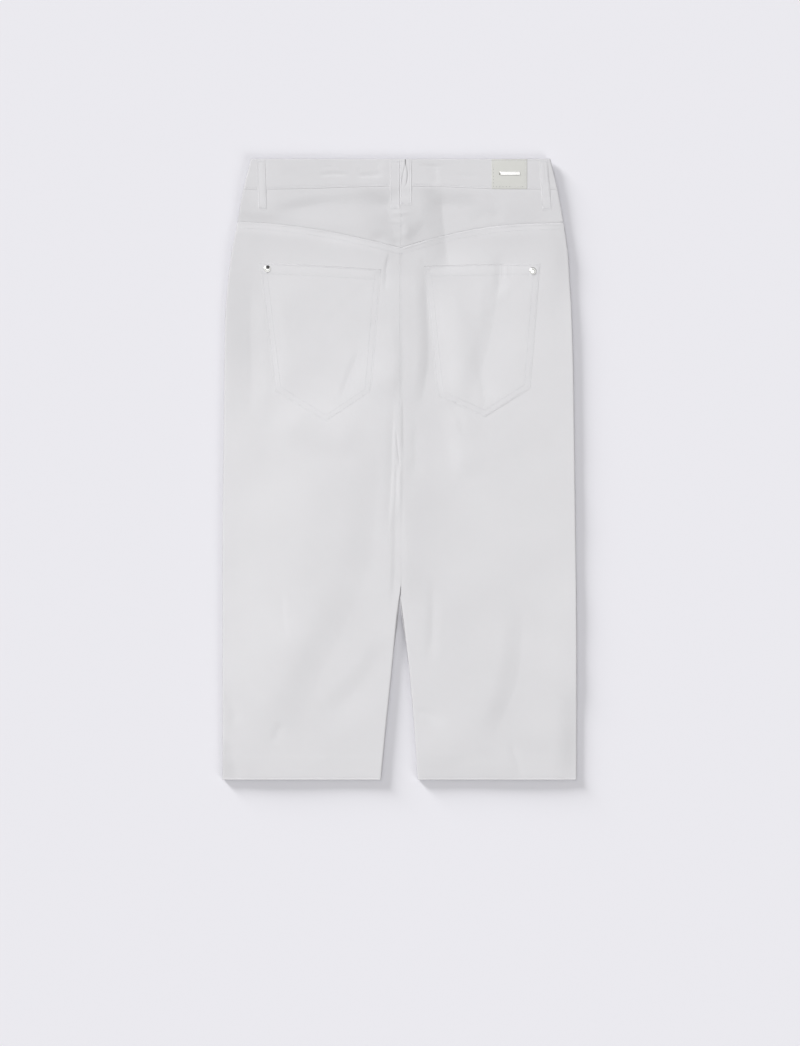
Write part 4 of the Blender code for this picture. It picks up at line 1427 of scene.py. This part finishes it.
for half, spot in RIVETS.items():
    place = on_top(partial(pocket_height, half), *spot)
    profile = (*RIVET_DOMES[half], *RIVET_RIM)
    turned("pocket_rivet_" + half, profile, place, RIVET_LEANS[half], RIVET_DARK_REFLECTION[half])

BUTTON_X, BUTTON_DEPTH = -0.0110, 0.0190
BUTTON_PROFILE = (
    (0.0, 0.00125), (0.0085, 0.00125), (0.0087, 0.00095), (0.0086, 0.00040), (0.0081, 0.00008), (0.0075, 0.0),
    (0.0069, 0.00018), (0.0064, 0.00032), (0.0030, 0.00026), (0.0, 0.00022),
)
turned("waist_button", BUTTON_PROFILE, (BUTTON_X, LENGTH / 2 - BUTTON_DEPTH, 0.0))

BAR_X, BAR_DEPTH = 0.1397, 0.0185
BAR_LENGTH, BAR_WIDTH, BAR_HEIGHT = 0.0270, 0.0045, 0.0008
BAR_CORNER, BAR_ROUNDING = 0.0007, 0.0003
BAR_SLOPE = 0.0020  # the left end slopes


def add_bar():
    """A block whose upright corners and then upper edges are rounded."""
    bar = bmesh.new()
    bmesh.ops.create_cube(bar, size=1.0)
    bmesh.ops.scale(bar, verts=bar.verts[:], vec=(BAR_LENGTH, BAR_WIDTH, BAR_HEIGHT))
    for corner in bar.verts:
        if corner.co.x < 0 and corner.co.z > 0:
            corner.co.x += BAR_SLOPE
    bevel = partial(bmesh.ops.bevel, bar, affect="EDGES", profile=0.5, material=-1)
    upright = [edge for edge in bar.edges if abs(edge.verts[0].co.z - edge.verts[1].co.z) > BAR_HEIGHT / 2]
    bevel(geom=upright, offset=BAR_CORNER, segments=5)
    upper = [edge for edge in bar.edges if min(v.co.z for v in edge.verts) > BAR_HEIGHT * 0.4]
    bevel(geom=upper, offset=BAR_ROUNDING, segments=4)
    x, y, z = on_top(patch_height, BAR_X, BAR_DEPTH)
    bmesh.ops.translate(bar, verts=bar.verts[:], vec=(x, y, z + BAR_HEIGHT / 2))
    finish_solid("plain_bar", bar, POLISHED)


add_bar()

# %% [markdown]
# Seams are sewn in white thread. One stitch is a grain-shaped body about three millimetres long. A run of
# them is one joined mesh: the stitch is copied into it once for each place, and then each copy is turned
# along the seam and set down on the cloth, half sunk in. Hundreds of separate objects would be slow and hard
# to move.

# %% Stitches
STITCH_PITCH = 0.0031
STITCH_SIZE = (0.0012, 0.00024, 0.00015)  # half length, half width, half height
STITCH_SUNK = 0.35  # a stitch stands this part of its half height above the middle of the cloth's face

grain = bmesh.new()
bmesh.ops.create_icosphere(grain, subdivisions=1, radius=1.0)
STITCH = new_mesh("stitch", grain)


def spaced(line, pitch):
    """Middles and directions of the stitches along a line of (x, depth) points."""
    line = np.array(line, float)
    steps = np.diff(line, axis=0)
    lengths = np.hypot(*steps.T)
    travelled = np.concatenate([[0.0], np.cumsum(lengths)])
    count = max(int(travelled[-1] / pitch), 1)
    at = (np.arange(count) + 0.5) * travelled[-1] / count
    row = np.clip(np.searchsorted(travelled, at) - 1, 0, len(steps) - 1)
    part = (at - travelled[row]) / lengths[row]
    return line[row] + steps[row] * part[:, None], steps[row] / lengths[row][:, None]


def sew(name, runs, pitch=STITCH_PITCH, size=STITCH_SIZE, up=1.0, thread=THREAD):
    """Joins stitches along runs of (line, height function) into one piece.
    up is -1 on a face that looks down."""
    placed = []
    for line, height in runs:
        middle, way = spaced(line, pitch)
        back, front = (height(*(middle + way * reach).T) for reach in (-size[0], size[0]))
        placed.append((middle, way, (back + front) / 2, (front - back) / (2 * size[0])))
    middle, way, lift, tilt = (np.concatenate(rows) for rows in zip(*placed))
    joined = bmesh.new()
    for _ in range(len(middle)):
        joined.from_mesh(STITCH)
    piece = finish_solid(name, joined, thread)
    along, across, height = np.moveaxis(points_of(STITCH)[None] * np.array(size), -1, 0)
    x = middle[:, :1] + along * way[:, :1] - across * way[:, 1:]
    depth = middle[:, 1:] + along * way[:, 1:] + across * way[:, :1]
    z = lift[:, None] + along * tilt[:, None] + height + up * size[2] * STITCH_SUNK
    map_cut(piece.data, x.ravel(), depth.ravel(), np.ones(x.size))
    move_points(piece.data, np.stack([x, LENGTH / 2 - depth, z], -1))
    print(name, len(middle), "stitches")


def across_line(start, end, depth_at, count=60):
    """A row of points from one side to the other."""
    x = np.linspace(start, end, count)
    return np.stack([x, depth_at(x)], 1)


def down_line(start, end, x_at, count=60):
    """A row of points down the cloth."""
    depth = np.linspace(start, end, count)
    return np.stack([x_at(depth), depth], 1)


def band_row(x):
    """The row along the waistband's lower edge."""
    return band_depth(x) - BAND_STITCHES


SEAM_INSET, SECOND_ROW = 0.0022, 0.0080  # rows of stitches beside a seam
CENTRE_END = 0.330  # the centre seam's stitches stop at the fork
centre_row = straight(CENTRE_X - SEAM_INSET)
sew("stitching_waistband", [(across_line(-0.1955, 0.1970, band_row), band_height)])
sew(
    "stitching_yoke",
    [
        (across_line(-0.2030, 0.2045, lambda x: yoke_depth(x) + SEAM_INSET), back_height),
        (across_line(-0.2045, 0.2060, lambda x: yoke_depth(x) + SECOND_ROW), back_height),
        (down_line(0.116, CENTRE_END, centre_row), back_height),
    ],
)


MOUTH_ROW_INSET = 0.004


def pocket_runs(side):
    """Two rows inside the sewn edges and two along the mouth."""
    corners = np.array(POCKETS[side])
    runs = []
    for row in POCKET_STITCHES:
        line = []
        for corner, before, after in zip(corners, np.roll(corners, 1, 0), np.roll(corners, -1, 0)):
            back, on = (way / np.hypot(*way) for way in (before - corner, after - corner))
            inward = (back + on) / np.hypot(*(back + on))
            line.append(corner + inward * row / abs(inward[0] * on[1] - inward[1] * on[0]))
        runs.append(line)
    start, end = corners[0][0] + MOUTH_ROW_INSET, corners[-1][0] - MOUTH_ROW_INSET
    for row in MOUTH_STITCHES:
        runs.append(across_line(start, end, lambda x: mouth_depth(side, x) + row))
    return [(run, partial(pocket_height, side)) for run in runs]


for half in HALVES:
    sew("stitching_pocket_" + half, pocket_runs(half))

HEM_STITCHES = 0.0030
HEM_SPANS = ((-0.2200, -0.0270), (0.0270, 0.2200))
hem_rows = [across_line(start, end, straight(LENGTH - HEM_STITCHES)) for start, end in HEM_SPANS]
sew("stitching_hems", [(row, back_height) for row in hem_rows], size=(0.0012, 0.00022, 0.00016))


def patch_run(points):
    """A row of stitches through points, given as parts of the way across and down the row's rectangle."""
    left, top = PATCH_LEFT + PATCH_INSET, PATCH_TOP + PATCH_INSET
    across, down = PATCH_RIGHT - PATCH_INSET - left, PATCH_END - 1.4 * PATCH_INSET - top
    return [(left + across * part_x, top + down * part_y) for part_x, part_y in points], patch_height


DARK_RUNS = (((0, 0.27), (0, 1), (0.56, 1)), ((0.87, 1), (0.95, 1)))
PALE_RUNS = (((0.56, 1), (0.87, 1)), ((0.95, 1), (1, 1), (1, 0), (0, 0), (0, 0.27)))
for run_name, runs, thread in (("dark", DARK_RUNS, PATCH_THREAD), ("pale", PALE_RUNS, THREAD)):
    sew(
        "stitching_patch_" + run_name, [patch_run(run) for run in runs], pitch=0.0039,
        size=(0.0007, 0.00040, 0.00015), thread=thread,
    )


def beside_middle(loop, aside):
    """A loop's height along a line at one distance from its middle."""
    return lambda x, depth: loop_height(loop, np.full_like(x, aside), depth)


def loop_runs(loop):
    """A row down each edge of a loop."""
    runs = []
    for hand in HALVES.values():
        aside = hand * (loop.width / 2 - LOOP_SEW_INSET)
        start, end = LOOP_TOP_DEPTH + LOOP_SEW_INSET, loop.end_depth - LOOP_SEW_INSET
        line = down_line(start, end, lambda depth: loop_middle(loop, depth) + aside)
        runs.append((line, beside_middle(loop, aside)))
    return runs


TACK_PITCH, TACK_SLANT = 0.0019, 0.0003
SLIT_CLEAR = 0.0018  # no tacks this close to the slit


def tack_runs(loop):
    """Dense zigzags across both ends of a loop, which hold it down."""
    runs = []
    for start in (LOOP_TOP_DEPTH + 0.0016, loop.end_depth - 0.0034):
        middle = loop_middle(loop, start)
        for aside in np.linspace(-0.40, 0.40, 8) * loop.width:
            if loop is BACK_LOOPS["belt_loop_centre_right"] and abs(aside + SLIT_ASIDE) < SLIT_CLEAR:
                continue
            line = ((middle + aside, start), (middle + aside + TACK_SLANT, start + TACK_PITCH))
            runs.append((line, beside_middle(loop, aside)))
    return runs


for name, runs_of, pitch, size in (
    ("stitching_loops", loop_runs, 0.0028, (0.0011, 0.00020, 0.00010)),
    ("bar_tacks", tack_runs, TACK_PITCH, (0.0011, 0.00022, 0.00010)),
):
    sew(name, [run for loop in BACK_LOOPS.values() for run in runs_of(loop)], pitch, size)

# %% [markdown]
# The front is hidden when the trousers lie like this, so it is finished plainly: the fly's curved double row
# of stitches, the centre seam, and the hems.

# %% Stitches of the front
FLY_TOP, FLY_END = 0.042, 0.185
FLY_WIDTH, FLY_CURVE = 0.034, 0.050
FLY_ROWS = (0.0, 0.006)  # each row's distance in from the fly's edge


def fly_row(inset):
    """The fly's stitching runs straight down and then curves in to the centre seam."""

    def x_at(depth):
        part = np.clip((depth - (FLY_END - FLY_CURVE)) / FLY_CURVE, 0.0, 1.0)
        return CENTRE_X - (FLY_WIDTH - inset) * np.sqrt(np.clip(1.0 - part ** 2, 0.0, 1.0))

    return down_line(FLY_TOP, FLY_END - inset, x_at, 90)


front_rows = [*(fly_row(inset) for inset in FLY_ROWS), down_line(FLY_END, CENTRE_END, centre_row), *hem_rows]
sew(
    "stitching_front",
    [
        *((row, front_height) for row in front_rows),
        (across_line(-0.1930, 0.1950, band_row), front_band_height),
    ],
    up=-1.0,
)

# %% [markdown]
# The zip's tapes stay as the solid with a woven finish. Its teeth are one small block copied along the tape
# and joined, as the stitches are. It is closed, and only shows from inside the waist.

# %% The zip
ZIP_START, ZIP_STOP = 0.043, 0.183
TOOTH_PITCH = 0.0014
TOOTH_SIZE = (0.0030, 0.0009, 0.0006)
TOOTH_ASIDE = 0.0006  # every other tooth sits on the other tape
TAPE_RISE = 0.0020  # from the front's lower face to the tapes' upper face


def add_teeth():
    """The teeth stand on the tapes, which follow the rise of the front at the waist."""
    tooth = bmesh.new()
    bmesh.ops.create_cube(tooth, size=1.0)
    bmesh.ops.scale(tooth, verts=tooth.verts[:], vec=TOOTH_SIZE)
    block = new_mesh("tooth", tooth)
    teeth = bmesh.new()
    count = int((ZIP_STOP - ZIP_START) / TOOTH_PITCH)
    for _ in range(count):
        teeth.from_mesh(block)
    piece = finish_solid("zip_teeth", teeth, POLISHED)
    places = points_of(piece.data).reshape(count, -1, 3)
    depth = ZIP_START + (np.arange(count) + 0.5) * TOOTH_PITCH
    places[..., 0] += (CENTRE_X + TOOTH_ASIDE * (-1.0) ** np.arange(count))[:, None]
    places[..., 1] += (LENGTH / 2 - depth)[:, None]
    places[..., 2] += (front_rise(depth) + TAPE_RISE + GAP)[:, None] + TOOTH_SIZE[2] / 2
    move_points(piece.data, places)
    return count


def object_tape(name):
    """The tape's weave on the solid, which has no map of its own."""
    material, tree, shader = new_finish(name)
    spot = add_node(tree, "ShaderNodeTexCoord").outputs["Object"]
    ribs = bands(tree, spot, 0.0006, 0.0)
    rough = (noise(tree, spot, 0.01), 0.70, 0.85)
    dress(tree, shader, between(tree, ribs, 0.94, 1.03), (0.72, 0.72, 0.74), rough, (ribs, 0.4, 0.0001))
    return material


zip_tapes = frame["nodes"]["zip"]
for number in range(len(zip_tapes.data.materials)):
    zip_tapes.data.materials[number] = object_tape("zip_tape_finish")
print("zip teeth:", add_teeth())

# %% [markdown]
# Every piece rides on the trousers' one body and stands for its solid. Each sheet also says how large it was
# cut, from the same measures as the outline, so that its area can be tested.

# %% What each piece stands for
SOLIDS = {
    "back_waistband": ("waistband_back", "cloth"),
    "leather_patch": ("patch", "patch_leather"),
    "plain_bar": ("patch_bar", "polished_metal"),
    "waist_button": ("button", "polished_metal"),
}
for half in HALVES:
    SOLIDS |= {
        "back_panel_" + half: ("back_" + half, "cloth"),
        "yoke_half_" + half: ("yoke_" + half, "cloth"),
        "patch_pocket_" + half: ("pocket_" + half, "cloth"),
        "front_panel_" + half: ("front_" + half, "cloth"),
        "front_waistband_" + half: ("waistband_front_" + half, "cloth"),
        "belt_loop_side_" + half: ("loop_side_" + half, "cloth"),
        "belt_loop_centre_" + half: ("loop_centre_" + half, "cloth"),
        "belt_loop_front_" + half: ("loop_front_" + half, "cloth"),
        "pocket_rivet_" + half: ("rivet_" + half, "polished_metal"),
    }
for name, piece in PIECES.items():
    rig.ride(piece, "root")
    solid, finish = SOLIDS.get(name, (None, "polished_metal" if name == "zip_teeth" else "cloth"))
    if solid:
        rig.replaces(piece, solid)
    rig.slot(piece, finish)

Cut = namedtuple("Cut", "width length area rests_on sewn")
CUTS = {
    "back_waistband": Cut(0.3970, 0.0388, 0.0145, ("yoke_left", "yoke_right"), ("stitching_waistband",)),
    "leather_patch": Cut(
        0.0454, 0.0380, 0.00172, ("waistband_back",),
        ("stitching_patch_dark", "stitching_patch_pale", "plain_bar"),
    ),
}
for half in HALVES:
    CUTS |= {
        "back_panel_" + half: Cut(0.2265, 0.7080, 0.1470, ("front_" + half,), ()),
        "yoke_half_" + half: Cut(0.2090, 0.0790, 0.0110, ("front_" + half,), ()),
        "patch_pocket_" + half: Cut(
            0.1550, 0.2030, 0.0257, ("back_" + half,), ("stitching_pocket_" + half, "pocket_rivet_" + half)
        ),
        "front_panel_" + half: Cut(0.2265, 0.7540, 0.1560, (), ()),
        "front_waistband_" + half: Cut(0.1980, 0.0388, 0.0073, (), ()),
        "belt_loop_side_" + half: Cut(0.0112, 0.0650, 0.00072, ("waistband_back",), ()),
        "belt_loop_centre_" + half: Cut(0.0146, 0.0630, 0.00076, ("waistband_back",), ()),
        "belt_loop_front_" + half: Cut(0.0110, 0.0624, 0.00068, (), ()),
    }
for name, cut in CUTS.items():
    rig.sheet(
        PIECES[name],
        flat=(cut.width, cut.length),
        held="laid",
        rests_on=cut.rests_on,
        area=cut.area,
        with_pieces=[PIECES[sewn] for sewn in cut.sewn],
    )
print("sheets declared:", len(CUTS))

# %% [markdown]
# The trousers lie on a plain pale floor under soft studio light. A large soft lamp at the upper left lights
# the cloth alone. The floor has a lower lamp of its own on the same side, which gives the broad soft shadow
# along the right and lower edges without whitening the cloth's own left edges. Two more keep that shadow
# pale: a fill lamp from the lower right, on the floor alone, and a small spot that casts no shadow, on the
# floor and the front panels at the narrow top of the gap between the legs. An even dome of light fills the
# rest.

# %% The floor and the light
FLOOR_HALF = 12.0
FLOOR_COLOUR = (0.808, 0.801, 0.841)
FLOOR_DROP = 0.0003  # the floor lies just under the lowest stitches
UPPER_LEFT, LOWER_RIGHT = 45.0, 225.0  # the side a lamp stands on, in degrees from the left
GAP_SPOT_WATTS, GAP_SPOT_HEIGHT = 8.0, 1.0
GAP_SPOT_DEPTH, GAP_SPOT_REACH = 0.555, 0.030  # its middle down the trousers, and how wide it is on the floor
DOME_LOW, DOME_TOP = 0.22, 1.34  # the dome's light at the horizon, and what the soft box overhead adds
DOME_FOCUS = 6.0


def add_floor():
    plane = bmesh.new()
    bmesh.ops.create_grid(plane, x_segments=1, y_segments=1, size=FLOOR_HALF)
    bmesh.ops.translate(plane, verts=plane.verts[:], vec=(0.0, 0.0, -FLOOR_DROP))
    floor = show("floor", new_mesh("floor", plane))
    material, _, shader = new_finish("floor_paper")
    shader.inputs["Base Color"].default_value = (*FLOOR_COLOUR, 1.0)
    shader.inputs["Roughness"].default_value = 0.95
    shader.inputs["Specular IOR Level"].default_value = 0.0
    floor.data.materials.append(material)
    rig.stage(floor)
    return floor


def light_only(lamp, things):
    """Makes a lamp shine only on some things. Everything still casts its shadow."""
    lit = bpy.data.collections.new(lamp.name + "_shines_on")
    for thing in things:
        lit.objects.link(thing)
    lamp.light_linking.receiver_collection = lit


def add_lamp(name, turn, height, size, level_light, things):
    """A far soft lamp. Its turn, height and size are in degrees, and level_light is what it adds on level
    ground, where 1 is the whole light."""
    turn, height = math.radians(turn), math.radians(height)
    lamp = bpy.data.lights.new(name, "SUN")
    lamp.energy = level_light * math.pi / math.sin(height)
    lamp.angle = math.radians(size)
    holder = show(name, lamp)
    away = Vector((-math.cos(turn), math.sin(turn), 0.0)) * math.cos(height)
    away.z = math.sin(height)
    holder.rotation_mode = "QUATERNION"
    holder.rotation_quaternion = away.to_track_quat("Z", "Y")
    light_only(holder, things)


def add_gap_spot(things):
    """A small spot straight above the narrow top of the gap between the legs, where the floor is dark."""
    lamp = bpy.data.lights.new("gap_spot", "SPOT")
    lamp.energy = GAP_SPOT_WATTS
    lamp.spot_size = 2.0 * math.atan(GAP_SPOT_REACH / GAP_SPOT_HEIGHT)
    lamp.spot_blend = 1.0
    lamp.shadow_soft_size = 0.0
    lamp.use_shadow = False
    holder = show("gap_spot", lamp)
    holder.location = (0.0, LENGTH / 2 - GAP_SPOT_DEPTH, GAP_SPOT_HEIGHT)
    light_only(holder, things)


floor = add_floor()
add_lamp("soft_lamp", UPPER_LEFT, 34.0, 40.0, 0.445, [*PIECES.values(), zip_tapes])
add_lamp("low_lamp", UPPER_LEFT, 11.5, 18.0, 0.33, [floor])
add_lamp("fill_lamp", LOWER_RIGHT, 25.0, 28.0, 0.14, [floor])
add_gap_spot([floor, PIECES["front_panel_left"], PIECES["front_panel_right"]])
print("lamps:", [thing.name for thing in bpy.context.scene.objects if thing.type == "LIGHT"])


def add_dome():
    """An even dome with a broad soft box overhead, which polished metal mirrors as white."""
    world = bpy.data.worlds.new("studio")
    bpy.context.scene.world = world
    world.use_nodes = True
    tree = world.node_tree
    upward = add_node(tree, "ShaderNodeSeparateXYZ")
    tree.links.new(add_node(tree, "ShaderNodeTexCoord").outputs["Generated"], upward.inputs["Vector"])
    above = times(tree, upward.outputs["Z"], 0.0, "MAXIMUM")
    box = times(tree, times(tree, above, DOME_FOCUS, "POWER"), DOME_TOP)
    background = tree.nodes["Background"]
    background.inputs["Color"].default_value = (1.0, 1.0, 1.0, 1.0)
    tree.links.new(times(tree, box, DOME_LOW, "ADD"), background.inputs["Strength"])


add_dome()
bpy.context.scene.view_settings.view_transform = "Standard"

# %% [markdown]
# The camera hangs straight above the middle of its view, far enough away that the waist and hems are not
# drawn in, and looks straight down.

# %% The camera
CAMERA_X, CAMERA_DEPTH = 0.0007, 0.4620
CAMERA_HEIGHT = 3.691
camera_data = bpy.data.cameras.new("camera")
camera_data.lens = 100.0
camera_data.sensor_width = 36.0
camera = show("camera", camera_data)
camera.location = (CAMERA_X, LENGTH / 2 - CAMERA_DEPTH, CAMERA_HEIGHT)
bpy.context.scene.camera = camera
print("camera above depth", CAMERA_DEPTH, "at height", CAMERA_HEIGHT)

# %% [markdown]
# Last, the visual model's box is written beside the solids' box, so that the two can be compared.

# %% Finishing
looks_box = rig.bounds()
sizes = {
    "cad": [list(corner) for corner in CAD_BOX],
    "looks": [list(corner) for corner in looks_box],
}
with open("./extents.json", "w") as report:
    json.dump(sizes, report, indent=1)
print("box of the looks:", [round(v, 4) for v in (*looks_box[0], *looks_box[1])])
